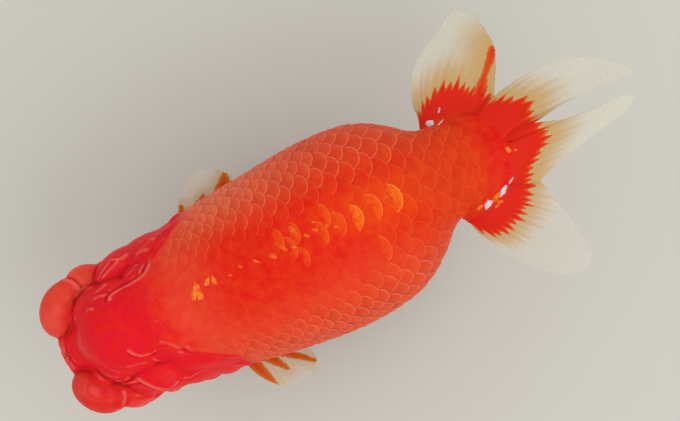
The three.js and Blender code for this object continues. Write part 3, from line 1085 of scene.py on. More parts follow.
@dataclass
class Wrap:
    """The trunk's outline unrolled: distances round it from the middle of the back."""

    low: float = 30.0
    high: float = 137.0
    stations: int = 215
    turns: int = 121

    def __post_init__(self) -> None:
        """Measures the outline at each station."""
        self.ys = np.linspace(self.low, self.high, self.stations)
        angles = np.linspace(math.pi / 2, -math.pi / 2, self.turns)
        grid = BODY.section(self.ys[:, None] + 0 * angles, angles + 0 * self.ys[:, None])
        steps = np.linalg.norm(np.diff(grid, axis=1), axis=2)
        arcs = np.concatenate([np.zeros((self.stations, 1)), np.cumsum(steps, axis=1)], axis=1)
        self.half_round = arcs[:, -1]
        even = np.linspace(0, 1, self.turns)
        self.angles = np.array([np.interp(even * arc[-1], arc, angles) for arc in arcs])

    def half_girth(self, y: np.ndarray | float) -> np.ndarray:
        """The distance from the middle of the back to the middle of the belly."""
        return np.interp(y, self.ys, self.half_round)

    def points(self, y: np.ndarray, arc: np.ndarray) -> np.ndarray:
        """Lays unrolled places on the skin.

        Args:
            y: Where along the fish.
            arc: Signed distances round it from the middle of the back.

        Returns:
            A row of x, y, z for each place.
        """
        reach = self.half_girth(y)
        side = np.sign(arc) + (arc == 0)
        share = np.abs(arc) / reach
        under = share > 1
        side, share = np.where(under, -side, side), np.where(under, 2 - share, share)
        row = np.clip((y - self.low) / (self.high - self.low), 0, 1) * (self.stations - 1)
        column = np.clip(share, 0, 1) * (self.turns - 1)
        i, j = np.minimum(row.astype(int), self.stations - 2), np.minimum(column.astype(int), self.turns - 2)
        a, b = row - i, column - j
        angle = (self.angles[i, j] * (1 - a) + self.angles[i + 1, j] * a) * (1 - b)
        angle += (self.angles[i, j + 1] * (1 - a) + self.angles[i + 1, j + 1] * a) * b
        placed = BODY.section(y, angle)
        placed[..., 0] *= side
        return placed

    def normals(self, y: np.ndarray, arc: np.ndarray) -> np.ndarray:
        """Finds the direction straight out of the skin.

        Args:
            y: Where along the fish.
            arc: Signed distances round it.

        Returns:
            The direction at each place.
        """
        ahead = self.points(y + 0.3, arc) - self.points(y - 0.3, arc)
        round_it = self.points(y, arc + 0.3) - self.points(y, arc - 0.3)
        return -unit(np.cross(ahead, round_it))


@dataclass(frozen=True)
class Plate:
    """One scale laid flat, 2 by 2, with numbers for each of its vertices."""

    mesh: bpy.types.Mesh
    u: np.ndarray  # how far towards the free edge, -1 to 1
    v: np.ndarray  # and how far across
    level: np.ndarray  # 0 below and 1 on top
    nearness: np.ndarray  # to the rim


@dataclass
class ScaleCoat:
    """The coat of scales, made from one rounded plate that is laid again and again."""

    flesh: Flesh
    lattice: ScaleLattice = ScaleLattice()
    wrap: Wrap = field(default_factory=Wrap)
    sides: int = 13
    thickness: float = 0.12  # of a scale that stands well up
    thinnest: float = 0.03
    sunk: float = 0.08  # how far a scale's root lies under the skin
    flank: Row = (14, 26)  # distances round the body over which the back turns into the flank
    glow_reach: float = 3.0  # how near a glowing scale's tip is to its bright place
    patch: float = 0.003  # size of a scale's patch on the coat's own map

    def _plate(self) -> Plate:
        """Makes the flat scale, its free edge towards +x.

        Returns:
            The scale.
        """
        bm = bmesh.new()
        bmesh.ops.create_circle(bm, cap_ends=True, segments=self.sides, radius=1)
        for vert in bm.verts:
            angle = math.atan2(vert.co.y, vert.co.x)
            angle -= 0.34 * math.sin(angle)
            c, s = math.cos(angle), math.sin(angle)
            vert.co = (math.copysign(abs(c) ** 0.86, c), math.copysign(abs(s) ** 0.9, s), 0)
        thicken(bm, (0, 0, 1))
        upper = [face for face in bm.faces if all(vert.co.z > 0.5 for vert in face.verts)]
        lower = [face for face in bm.faces if all(vert.co.z < 0.5 for vert in face.verts)]
        for thickness in (0.14, 0.3):
            bmesh.ops.inset_region(bm, faces=upper, thickness=thickness, use_even_offset=True)
        bmesh.ops.poke(bm, faces=upper + lower)
        bmesh.ops.recalc_face_normals(bm, faces=bm.faces)
        walls = {face for face in bm.faces if abs(face.normal.z) < 0.5}
        nearness = np.array([1.0 if walls.intersection(vert.link_faces) else 0.0 for vert in bm.verts])
        mesh = finish_bmesh(bm, "scale_plate")
        return Plate(mesh, *read_points(mesh).T, nearness)

    def _roots(self) -> np.ndarray:
        """Works out where the scales go.

        Returns:
            For each its place along and round, half length, half width, lift and a random share.
        """
        draw = random.Random(5)
        lattice, rows = self.lattice, []
        y, ring = lattice.start, 0
        while y < lattice.end:
            along, across, lift = (float(lattice.rows.at(y, column)) for column in (1, 2, 3))
            girth = float(self.wrap.half_girth(y))
            count = int((girth - 0.3 * across) / across)
            for row in range(-count, count + 1):
                if (row + ring) % 2:
                    continue
                place = row * across + draw.uniform(-0.1, 0.1) * across
                jitter = draw.uniform(-0.09, 0.09) * along
                half_width = across * lattice.breadth * draw.uniform(0.92, 1.06)
                rows.append((y + jitter, place, along * lattice.overlap, half_width, lift, draw.random()))
            y += along / 2
            ring += 1
        return np.array(rows)

    def build(self) -> list[bpy.types.Object]:
        """Lays the scales, bare of the gill covers and growths.

        Returns:
            A left and a right piece.
        """
        roots = self._roots()
        middles = self.wrap.points(roots[:, 0], roots[:, 1])
        x, y, z = middles.T
        gill = (np.abs(x - 0.4) - GILL_SLOPE * y > -11.3) & (y < 50 - 0.02 * np.minimum(z - 27, 0) ** 2)
        roots = roots[(self.flesh.distance(middles) > -0.55) & ~gill]
        plate = self._plate()
        made = []
        for side in Side:
            mine = roots[:, 1] * side.value >= (0 if side is Side.LEFT else 1e-9)
            made.append(self._joined(f"scales_{side.label}", roots[mine], plate))
        bpy.data.meshes.remove(plate.mesh)
        return made

    def _joined(self, name: str, roots: np.ndarray, plate: Plate) -> bpy.types.Object:
        """Joins many scales into one piece.

        Args:
            name: The piece's name.
            roots: Where the scales go, as _roots gives them.
            plate: The flat scale.

        Returns:
            The joined piece.
        """
        bm = bmesh.new()
        for _ in roots:
            bm.from_mesh(plate.mesh)
        mesh = finish_bmesh(bm, name)
        u, v = plate.u, plate.v
        y0, arc0, half_length, half_width, lift = (roots[:, k : k + 1] for k in range(5))
        along = np.minimum(y0 + u * half_length, BODY.stem_end - 1.2)
        across = arc0 + v * half_width
        share = (u + 1) / 2
        lift = lift * (1 + 0.5 * step(np.abs(across), 14, 30))
        thickness = self.thickness * np.minimum(lift / 0.2, 1) + self.thinnest
        dome = 0.5 * lift * (1 - v**2) * share
        height = lift * share**1.3 * 1.5 - self.sunk + dome
        lower = height - thickness - 0.3 * (plate.nearness == 0)
        height = np.where(plate.level > 0.5, height - 0.5 * thickness * plate.nearness, lower)
        placed = self.wrap.points(along, across) + self.wrap.normals(along, across) * height[..., None]
        write_points(mesh, BODY.to_frame(placed.reshape(-1, 3)))
        self._shade(mesh, roots, plate)
        self._map(mesh, roots, plate)
        mesh.set_sharp_from_angle(angle=math.radians(50))
        return new_object(name, mesh)

    def _shade(self, mesh: bpy.types.Mesh, roots: np.ndarray, plate: Plate) -> None:
        """Stores the numbers that the coat's material reads.

        Args:
            mesh: The joined scales.
            roots: Where they go, as _roots gives them.
            plate: The flat scale.
        """
        y0, arc0 = roots[:, 0:1], roots[:, 1:2]
        round_it = np.where(arc0 < 0, np.abs(arc0) + 9, arc0)
        flank = step(round_it, *self.flank)
        shades = {
            "rim": plate.nearness * step(plate.u, -0.4, 0.35),
            "tip": (plate.u + 1) / 2,
            "chance": roots[:, 5:6],
            "marked": 1 - (1 - flank) * (1 - 0.55 * step(y0, 84, 98)),
            # gold: a painted glint on the few scales nearest the bright places
            "gold": self._glow(self.wrap.points(roots[:, 0] + 0.6 * roots[:, 2], roots[:, 1])),
            "flank": flank,
        }
        for name, values in shades.items():
            write_shade(mesh, name, np.broadcast_to(values, (len(roots), len(plate.u))).ravel())

    def _glow(self, tips: np.ndarray) -> np.ndarray:
        """Picks the scale nearest to each painted glint's place on the back.

        Args:
            tips: Where each scale shows.

        Returns:
            How bright each scale is, as a column.
        """
        spots = np.array(self.lattice.glowing)
        away = np.linalg.norm(tips[:, None, :2] - spots[None, :, :2], axis=2) + FAR * (tips[:, 2:] < 30)
        nearest = away.argmin(axis=0)
        mine = away[nearest, np.arange(len(spots))] < self.glow_reach
        gold = np.zeros((len(tips), 1))
        gold[nearest[mine], 0] = spots[mine, 2]
        return gold

    def _map(self, mesh: bpy.types.Mesh, roots: np.ndarray, plate: Plate) -> None:
        """Gives the coat its own map, a small patch for each scale.

        Args:
            mesh: The joined scales.
            roots: Where they go, as _roots gives them.
            plate: The flat scale.
        """
        y0, arc0 = roots[:, 0:1], roots[:, 1:2]
        across = (1 + arc0 / self.wrap.half_girth(y0)) / 2 + plate.v * self.patch / 2
        along = (y0 - BODY.snout) / (BODY.stem_end - BODY.snout) + plate.u * self.patch / 2
        spots = np.stack([across, along], axis=-1).reshape(-1, 2)
        layer = mesh.uv_layers.new(name="OFBake")
        corners = np.zeros(len(mesh.loops), np.int64)
        mesh.loops.foreach_get("vertex_index", corners)
        layer.uv.foreach_set("vector", np.clip(spots[corners], 0.001, 0.999).astype(np.float32).ravel())


# ---------------------------------------------------------------- fins


@dataclass(frozen=True)
class Fin:
    """A rayed fin: its guide rays, and how far the red pigment reaches along them."""

    name: str
    rays: tuple[Row, ...]  # x, y and z of each ray's root, of its bend and of its tip
    side: Side
    bones: int  # bony rays across the fin
    pigment: tuple[Row, ...]  # share across the fin, and reach of the pigment in millimetres
    teeth: float = 1.3  # how far the pigment runs on in pointed flames
    flames: float = 0.74  # how many of them to a bony ray
    streaks: tuple[Row, ...] = ()  # bright streaks in plan: from x, y to x, y, with a half width at each end
    root_thickness: float = 1.2
    root_reach: float = 0.14  # share of the fin's length that the body's flesh runs out over
    columns: int = 6  # of mesh to a bony ray
    rows: int = 54
    membrane: float = 0.22
    bone: float = 0.1
    seed: int = 0

    def _curve(self, part: int, share: np.ndarray) -> np.ndarray:
        """Draws a smooth curve through one part of the guide rays.

        Args:
            part: 0 for their roots, 1 for their bends, 2 for their tips.
            share: Shares of the way across the fin.

        Returns:
            A row of x, y, z for each share.
        """
        knots = np.array(self.rays, float)[:, 3 * part : 3 * part + 3]
        knots = np.vstack([2 * knots[0] - knots[1], knots, 2 * knots[-1] - knots[-2]])
        t = share * (len(self.rays) - 1)
        i = np.minimum(t.astype(int), len(self.rays) - 2)
        w = (t - i)[..., None]
        a, b, c, d = (knots[i + k] for k in range(4))
        return 0.5 * (
            2 * b + (c - a) * w + (2 * a - 5 * b + 4 * c - d) * w**2 + (3 * b - a - 3 * c + d) * w**3
        )

    def sheet(self, across: np.ndarray, along: np.ndarray) -> np.ndarray:
        """Gives points of the fin's middle surface.

        Args:
            across: Shares of the way across the fin.
            along: Shares of the way out along its rays.

        Returns:
            A row of x, y, z for each pair of shares.
        """
        q = along[..., None]
        root, bend, tip = (self._curve(part, across) for part in range(3))
        points = (1 - q) ** 2 * root + 2 * q * (1 - q) * bend + q * q * tip
        points[..., 0] *= self.side.value
        return points

    def _fleshy(self, along: np.ndarray) -> np.ndarray:
        """How thick the flesh is over the rays' roots."""
        return self.root_thickness * np.maximum(0, 1 - along / 0.32) ** 2.2

    def root(self) -> FinRoot:
        """Makes the flesh of the body that runs out over the fin's root.

        Returns:
            The flesh, level with the fin's own.
        """
        along = np.linspace(0, self.root_reach, 7)
        ropes = []
        for share in np.linspace(0.03, 0.97, self.bones):
            line = self.sheet(np.full(7, share), along)
            ropes.append(Rope(line, self._fleshy(along) / 2 + 0.02))
        return FinRoot(tuple(ropes))

    def build(self) -> bpy.types.Object:
        """Makes the fin as a slab laid on the sheet, thicker over each bony ray.

        Returns:
            The fin, with the numbers that its material reads.
        """
        columns = self.bones * self.columns
        bm = bmesh.new()
        bmesh.ops.create_grid(bm, x_segments=columns, y_segments=self.rows, size=0.5)
        thicken(bm, (0, 0, 1))
        bmesh.ops.recalc_face_normals(bm, faces=bm.faces)
        mesh = finish_bmesh(bm, self.name)
        flat = read_points(mesh)
        across, along, top = flat[:, 0] + 0.5, flat[:, 1] + 0.5, flat[:, 2] > 0.5
        along = self._frayed(across, along)
        bony = self._bony(across, along)
        out = self._out(across, along)
        thickness = self.membrane + self.bone * bony * (1 - 0.75 * along) + self._fleshy(along)
        thickness *= 1 - 0.6 * step(along, 0.93, 1.0)
        thickness *= 0.35 + 0.65 * step(np.minimum(across, 1 - across) * columns, 0, 2)
        points = self.sheet(across, along) + self._ripple(across, along, out)
        points += out * (thickness * np.where(top, 0.5, -0.5))[:, None]
        write_points(mesh, BODY.to_frame(points))
        write_shade(mesh, "bone", bony)
        write_shade(mesh, "pigment", self._pigment(across, along))
        self._face_outwards(mesh)
        return new_object(self.name, mesh)

    def _out(self, across: np.ndarray, along: np.ndarray) -> np.ndarray:
        """Finds which way the sheet faces.

        Args:
            across: Shares of the way across the fin.
            along: Shares of the way out along its rays.

        Returns:
            The direction straight out of the sheet at each place.
        """
        nudge = 2e-3
        across, along = np.clip(across, 0, 1 - nudge), np.clip(along, 0, 1 - nudge)
        middle = self.sheet(across, along)
        ways = self.sheet(across + nudge, along) - middle, self.sheet(across, along + nudge) - middle
        out = np.cross(*ways)
        return out / np.maximum(np.linalg.norm(out, axis=1), 1e-12)[:, None]

    def _face_outwards(self, mesh: bpy.types.Mesh) -> None:
        """Turns a mirrored slab's faces outwards.

        Args:
            mesh: The slab.
        """
        bm = bmesh.new()
        bm.from_mesh(mesh)
        bmesh.ops.recalc_face_normals(bm, faces=bm.faces)
        bm.to_mesh(mesh)
        bm.free()
        mesh.shade_smooth()

    def _frayed(self, across: np.ndarray, along: np.ndarray) -> np.ndarray:
        """Lets the fin's edge run out a little unevenly between its rays.

        Args:
            across: Shares of the way across the fin.
            along: Shares of the way out along its rays.

        Returns:
            The shares along the rays, uneven towards the edge.
        """
        wave = 0.5 - 0.5 * np.cos(2 * math.pi * across * self.bones * 2)
        slow = np.sin(across * 17 + self.seed) * 0.5 + np.sin(across * 41 + 2.0 * self.seed) * 0.5
        return along * (1 - 0.012 * wave * along**6 - 0.018 * np.abs(slow) * along**6)

    def _bony(self, across: np.ndarray, along: np.ndarray) -> np.ndarray:
        """Says how bony each place is; the rays fork twice on their way out.

        Args:
            across: Shares of the way across the fin.
            along: Shares of the way out along its rays.

        Returns:
            1 on the rays and 0 between them.
        """
        single, double = (
            (0.5 + 0.5 * np.cos(2 * math.pi * (across * count + 0.5))) ** 2.2
            for count in (self.bones, self.bones * 2)
        )
        first, second = step(along, 0.34, 0.52), step(along, 0.66, 0.82)
        forked = single * (1 - first) + double * first
        return forked * (1 - 0.5 * second) + 0.5 * second * double

    def _ripple(self, across: np.ndarray, along: np.ndarray, out: np.ndarray) -> np.ndarray:
        """Soft waves that grow towards the fin's edge."""
        wave = np.sin(across * 9 + self.seed) * np.sin(along * 5 + across * 6 + 0.7 * self.seed)
        return out * (0.45 * wave * along**2 * step(1 - along, -0.6, 0.5))[:, None]

    def _length(self, across: np.ndarray) -> np.ndarray:
        """How long the fin is along its rays, in millimetres."""
        root, bend, tip = (self.sheet(across, np.full_like(across, share)) for share in (0, 0.5, 1))
        return np.linalg.norm(bend - root, axis=1) + np.linalg.norm(tip - bend, axis=1)

    def _pigment(self, across: np.ndarray, along: np.ndarray) -> np.ndarray:
        """Measures the red pigment, with its pointed flames and streaks.

        Args:
            across: Shares of the way across the fin.
            along: Shares of the way out along its rays.

        Returns:
            How far inside the pigment each place is, in millimetres along its ray.
        """
        reach = np.interp(across, *np.array(self.pigment).T)
        draw = random.Random(self.seed)
        flames = round(self.flames * self.bones)
        offsets = np.array([draw.uniform(-0.8, 1.0) for _ in range(flames)])
        leans = np.array([draw.uniform(0.38, 0.62) for _ in range(flames)])
        cell = np.minimum((across * flames).astype(int), flames - 1)
        part = across * flames - cell
        tooth = np.minimum(part / leans[cell], (1 - part) / (1 - leans[cell])) ** 1.25
        reach = reach + self.teeth * (tooth * (1 + 0.45 * offsets[cell]) - 0.4) * 2.0
        inside = reach - along * self._length(across)
        plan = self.sheet(across, along)[:, :2]
        for *ends, wide, wide_end in self.streaks:
            start, end = np.array(ends[:2]), np.array(ends[2:])
            share, off = beside(plan, start, end - start)
            inside = np.maximum(inside, wide + (wide_end - wide) * share - np.linalg.norm(off, axis=1))
        return inside


PECTORAL = (
    (19, 47.6, 15.6, 27, 48.6, 15.4, 31.2, 54.2, 13.8),
    (19, 48.8, 15, 27.4, 52, 14.8, 33, 59.2, 12.6),
    (18.8, 50, 14.4, 26.4, 55.4, 14, 31.6, 63.6, 11.6),
    (18.4, 51.2, 13.6, 24.4, 58, 12.8, 28.4, 66.2, 10.8),
    (17.8, 52.2, 12.8, 21, 58.4, 11.4, 22.6, 65.4, 9.8),
)
PELVIC = (
    (7.6, 63.4, 2.4, 11.6, 68, -2.6, 15.6, 78, -6.6),
    (7.1, 65, 2.2, 11, 72, -3, 15.6, 83.4, -7.6),
    (6.4, 66.5, 2, 9.6, 74.4, -3, 12.6, 86, -7),
    (5.6, 67.8, 2, 7.2, 74, -1.8, 8.2, 82.4, -4.4),
)
ANAL = (
    (3.6, 105.4, 10.6, 4.8, 108.6, 4.4, 6.6, 116.4, 0.6),
    (3.4, 107.2, 11.4, 4.8, 113, 5, 7, 122, 1.6),
    (3.2, 108.9, 12.2, 4.4, 116, 7.4, 6.4, 125, 5.2),
    (3, 110.4, 13, 3.9, 116, 10.2, 4.8, 122, 9),
)
# the inner tail lobes, from the cleft outwards
TAIL_INNER = {
    Side.RIGHT: (
        (-0.6, 134, 30.8, -0.6, 141, 33.4, -0.1, 147.2, 36.1),
        (0.8, 134, 30.4, 1.4, 146, 34.2, 1.3, 159, 39.6),
        (1.5, 134, 30.4, 3.2, 157, 38.6, 0.7, 175.2, 45),
        (3.6, 133.6, 30, 7.5, 155, 37.2, 5.5, 172.8, 43.6),
        (5.6, 133, 29.5, 11, 151, 35.5, 10.2, 166.5, 41),
        (7.6, 132, 29, 12.5, 146, 33, 13, 158.5, 37),
        (9, 131, 28.4, 11.8, 140, 31, 12.9, 149, 33.2),
        (9.3, 130.8, 28.3, 10.8, 135.6, 29.4, 11.7, 139.9, 30.6),
    ),
    Side.LEFT: (
        (0.04, 134, 30.4, 0.04, 141, 33, 0.08, 146.8, 35.6),
        (0.8, 134, 30.4, 1.8, 145, 33.8, 3.3, 157, 38.8),
        (1.5, 134, 30.4, 4.4, 155, 38.2, 3.3, 171.6, 43.6),
        (3.6, 133.6, 30, 6.8, 154, 37.4, 6.2, 172, 43),
        (5.6, 133, 29.5, 9, 151, 35.8, 8.2, 167, 41),
        (7.6, 132, 29, 10.6, 145, 33.2, 10.2, 157, 36.8),
        (9, 131, 28.4, 11.6, 139, 31, 12.6, 147.5, 33.2),
        (9.3, 130.8, 28.3, 12, 136, 29.6, 14.6, 141.4, 30.8),
    ),
}
# the outer tail lobes, from the inner lobe to the leading edge
TAIL_OUTER = {
    Side.RIGHT: (
        (8.9, 131.2, 27.8, 10.4, 136.0, 28.9, 11.2, 140.4, 30.1),
        (10.6, 128.8, 27, 15, 136.8, 28.4, 21.6, 146.2, 28.6),
        (11.4, 127, 26, 19.5, 135.8, 28, 28, 147, 27.4),
        (12, 125, 24.8, 24, 131, 27.6, 34.4, 146, 25.6),
        (12.2, 122.8, 23.5, 28, 124, 26.8, 39, 142.2, 23),
        (12.2, 120.4, 22.2, 29.5, 117.2, 25.8, 36.6, 136.4, 22.4),
    ),
    Side.LEFT: (
        (8.9, 131.2, 27.8, 11.6, 136.4, 29.1, 14.2, 141.9, 30.3),
        (10.6, 128.8, 27, 17, 137, 28.6, 24.6, 144.6, 28.4),
        (11.4, 127, 26, 20.8, 136, 28.2, 31, 146, 27),
        (12, 125, 24.8, 25.6, 132, 27.6, 38.2, 146.8, 25.2),
        (12.2, 122.8, 23.5, 28.5, 126.5, 26.8, 41.6, 143.4, 23.4),
        (12.2, 120.4, 22.2, 25.5, 119.2, 25.8, 40.2, 138.2, 22.6),
    ),
}
PIGMENT_INNER = {
    Side.RIGHT: ((0, 15), (0.3, 12.6), (0.42, 15.4), (0.58, 11.4), (0.8, 8.6), (1, 8.0)),
    Side.LEFT: ((0, 15), (0.45, 14.6), (0.7, 10.4), (1, 9.5)),
}
PIGMENT_OUTER = {
    Side.RIGHT: ((0, 9.6), (0.27, 10.4), (0.53, 12.1), (0.66, 12), (0.78, 9.3), (0.92, 6.5), (1, 4.4)),
    Side.LEFT: ((0, 9.8), (0.2, 10.7), (0.65, 11.4), (0.86, 11.2), (0.96, 7.9), (1, 3.5)),
}
STREAKS = {
    "tail_outer_right": ((-14.4, 137.2, -18.6, 141.4, 1.9, 0.8), (-18.6, 141.4, -22.9, 145.8, 0.8, 1.4)),
    "pectoral_fin_right": (
        (-25.0, 62.6, -30.4, 65.8, 2.5, 0.3), (-23.0, 49.6, -25.4, 50.3, 1.1, 0.7),
        (-23.9, 55.7, -26.4, 57.3, 1.7, 0.2), (-23.4, 51.6, -24.5, 52.1, 0.35, 0.1),
    ),
    "pectoral_fin_left": (
        (21.4, 49.4, 28.0, 52.1, 2.1, 1.1), (28.0, 52.1, 30.8, 53.5, 1.1, 0.2),
        (20.8, 53.4, 27.6, 57.8, 2.3, 0.5), (23.0, 58.4, 26.2, 62.7, 1.2, 0.9),
        (26.2, 62.7, 28.6, 65.4, 0.9, 0.6),
    ),
}


def all_fins() -> list[Fin]:
    """Lists the fins.

    Returns:
        The five of each side.
    """
    small = {"bones": 14, "rows": 34, "root_thickness": 2.0, "root_reach": 0.1}
    large = {"root_thickness": 4.0}
    fins = []
    for side in Side:
        left = side is Side.LEFT
        kinds = {
            "pectoral_fin": (PECTORAL, ((0, 1.5), (1, 1.5)), {"teeth": 0.6, "seed": 3, **small}),
            "pelvic_fin": (PELVIC, ((0, 9), (1, 6)), {"teeth": 1.2, "seed": 4, **small}),
            "anal_fin": (ANAL, ((0, 6), (1, 5)), {"teeth": 1.0, "seed": 5, **small}),
            "tail_inner": (TAIL_INNER[side], PIGMENT_INNER[side], {"bones": 15, "seed": 6 + left, **large}),
            "tail_outer": (TAIL_OUTER[side], PIGMENT_OUTER[side], {"bones": 17, "seed": 8 + left, **large}),
        }
        for kind, (rays, pigment, more) in kinds.items():
            name = f"{kind}_{side.label}"
            fins.append(Fin(name, rays, side, pigment=pigment, streaks=STREAKS.get(name, ()), **more))
    return fins


# ---------------------------------------------------------------- eyes


@dataclass(frozen=True)
class EyeBall:
    """An eyeball with its clear bulge in front."""

    eye: Eye
    side: Side
    bulge: float = 0.25  # how far the clear front stands out
    clearance: float = 0.05

    @property
    def node(self) -> str:
        """The CAD node that this piece stands for."""
        return f"eye_{self.side.label}"

    @property
    def aim(self) -> Vector:
        """Where the eye looks."""
        x, y, z = self.eye.aim
        return Vector((x * self.side.value, y, z)).normalized()

    @property
    def middle(self) -> Vector:
        """The eyeball's middle, in the straight frame."""
        x, y, z = self.eye.at
        return Vector((x * self.side.value, y, z))

    def build(self) -> bpy.types.Object:
        """Makes the eyeball, its pole where the pupil is.

        Returns:
            The eyeball.
        """
        bm = bmesh.new()
        radius = self.eye.radius - self.clearance
        bmesh.ops.create_uvsphere(bm, u_segments=56, v_segments=40, radius=radius)
        for vert in bm.verts:
            front = max(vert.co.z / radius - 0.6, 0) / 0.4
            vert.co.z += self.bulge * front**1.5
        turn = Vector((0, 0, 1)).rotation_difference(self.aim).to_matrix().to_4x4()
        bmesh.ops.transform(bm, matrix=Matrix.Translation(self.middle) @ turn, verts=bm.verts)
        mesh = finish_bmesh(bm, f"{self.node}_ball")
        write_points(mesh, BODY.to_frame(read_points(mesh)))
        return new_object(f"{self.node}_ball", mesh)

    def dress(self, ball: bpy.types.Object) -> None:
        """Paints the eyeball and puts it on the fish.

        Args:
            ball: The eyeball.
        """
        middle = BODY.to_frame(np.array([self.middle]))[0]
        finish = EyeFinish(self.eye, tuple(middle), tuple(self.aim))
        put_on(ball, "eye", finish.material(self.node), self.node)


# ---------------------------------------------------------------- painted glints


class Metal(Enum):
    """What colour a painted glint is."""

    GOLD = "gold"
    PEARL = "pearl"
    EMBER = "ember"


@dataclass(frozen=True)
class Flake:
    """A painted glint, seen from above: a thin bright patch on the skin, painted where a shiny scale reflects
    light. Its place, half length, half width and turn.
    """

    at: Row
    half_length: float
    half_width: float
    turn: float
    metal: Metal = Metal.GOLD
    taper: float = 0.0  # 1 where it runs out to a point


@dataclass
class Flakes:
    """The few painted glints along the back and at the tail's root: thin patches painted bright where shiny
    scales reflect light.
    """

    thickness: float = 0.05  # how far a glint patch stands out
    depth: float = 0.3  # and how far it goes in
    sides: int = 12
    unevenness: Row = (0.72, 1.16)  # of the outline
    flakes: tuple[Flake, ...] = (
        # the forked glint behind the head
        Flake((-0.6, 46.9), 2.8, 1.4, 147, taper=0.9), Flake((0.2, 47.8), 2.6, 1.35, 165, taper=0.9),
        Flake((-1.4, 51.0), 1.4, 1.0, 137, taper=0.8), Flake((-0.9, 52.6), 1.4, 1.0, 174, taper=0.8),
        # the scattered row down the middle of the back
        Flake((-3.8, 76.7), 1.5, 1.0, 20, Metal.EMBER, 0.4), Flake((-1.4, 81.9), 1.0, 0.65, 60, Metal.EMBER),
        Flake((-1.1, 84.8), 0.8, 0.6, 100, Metal.EMBER), Flake((-1.1, 79.2), 1.0, 0.55, 30, Metal.EMBER),
        Flake((-0.1, 69.2), 1.3, 0.75, 45, Metal.EMBER), Flake((-0.8, 72.5), 1.3, 0.8, 30, Metal.EMBER),
        Flake((0.0, 75.2), 0.9, 0.7, 60, Metal.EMBER), Flake((0.2, 86.8), 0.9, 0.55, 80, Metal.EMBER),
        Flake((-1.2, 60.4), 0.9, 0.4, 40, Metal.EMBER), Flake((-0.2, 57.1), 0.7, 0.35, 60, Metal.EMBER),
        Flake((-3.4, 82.2), 0.6, 0.4, 60), Flake((-0.6, 64.9), 1.2, 0.3, 42, taper=0.5),
        Flake((0.3, 75.0), 0.5, 0.25, 55),
        Flake((-3.9, 77.0), 0.8, 0.35, 20, taper=0.4), Flake((0.1, 93.6), 1.0, 0.45, 60, taper=0.6),
        # the tail's root
        Flake((2.8, 137.5), 1.0, 0.65, 20), Flake((3.8, 139.2), 0.6, 0.34, 40),
        Flake((12.9, 124.2), 1.1, 0.6, 100), Flake((13.7, 129.8), 0.9, 0.5, 60),
        Flake((14.4, 128.6), 0.8, 0.4, 110),
        Flake((12.3, 129.4), 1.7, 0.6, 118), Flake((13.1, 126.6), 1.7, 1.0, 118, Metal.PEARL),
        Flake((11.5, 131.8), 1.8, 0.8, 118, Metal.PEARL), Flake((10.2, 134.8), 1.2, 0.24, 115, Metal.PEARL),
        Flake((-13.7, 122.0), 1.3, 1.0, 60, Metal.PEARL), Flake((-12.2, 124.0), 1.9, 0.24, 116, Metal.PEARL),
        Flake((-15.8, 125.8), 1.0, 0.24, 140, Metal.PEARL),
    )

    def build(self, grounds: list[bpy.types.Object]) -> list[tuple[Metal, bpy.types.Object]]:
        """Drapes each painted glint over whatever is highest under it.

        Args:
            grounds: The pieces that a painted glint may lie on.

        Returns:
            One joined piece for each metal.
        """
        graph = bpy.context.evaluated_depsgraph_get()
        trees = [BVHTree.FromObject(ground, graph) for ground in grounds]
        draw = random.Random(3)
        joined = {metal: bmesh.new() for metal in Metal}
        for flake in self.flakes:
            mesh = self._draped(flake, trees, draw)
            joined[flake.metal].from_mesh(mesh)
            bpy.data.meshes.remove(mesh)
        return [
            (metal, new_object(f"{metal.value}_flakes", finish_bmesh(bm, f"{metal.value}_flakes")))
            for metal, bm in joined.items()
        ]

    def _draped(self, flake: Flake, trees: list[BVHTree], draw: random.Random) -> bpy.types.Mesh:
        """Makes one thin painted glint that follows the ground under it.

        Args:
            flake: The painted glint.
            trees: The ground's pieces.
            draw: What its uneven outline is drawn from.

        Returns:
            The painted glint's mesh.
        """
        bm = bmesh.new()
        bmesh.ops.create_circle(bm, cap_ends=True, segments=self.sides, radius=1)
        for vert in bm.verts:
            vert.co *= draw.uniform(*self.unevenness)
        for _ in range(2):
            inner = max(bm.faces, key=lambda face: len(face.verts))
            bmesh.ops.inset_region(bm, faces=[inner], thickness=0.3)
        bmesh.ops.poke(bm, faces=[max(bm.faces, key=lambda face: len(face.verts))])
        angle = math.radians(flake.turn)
        lengthwise = Vector((math.cos(angle), math.sin(angle)))
        sideways = Vector((-lengthwise.y, lengthwise.x))
        level = 0.0
        for vert in bm.verts:
            width = flake.half_width * (1 - flake.taper * (vert.co.x + 1) / 2)
            plan = Vector(flake.at) + lengthwise * vert.co.x * flake.half_length
            plan += sideways * vert.co.y * width
            above = Vector(BODY.to_frame(np.array([(plan.x, plan.y, 90.0)]))[0])
            hits = [tree.ray_cast(above, Vector((0, 0, -1)))[0] for tree in trees]
            level = max((hit.z for hit in hits if hit is not None), default=level)
            vert.co = (above.x, above.y, level + self.thickness * MM)
        thicken(bm, (0, 0, -self.depth * MM))
        bmesh.ops.recalc_face_normals(bm, faces=bm.faces)
        return finish_bmesh(bm, "flake")


# ---------------------------------------------------------------- stand


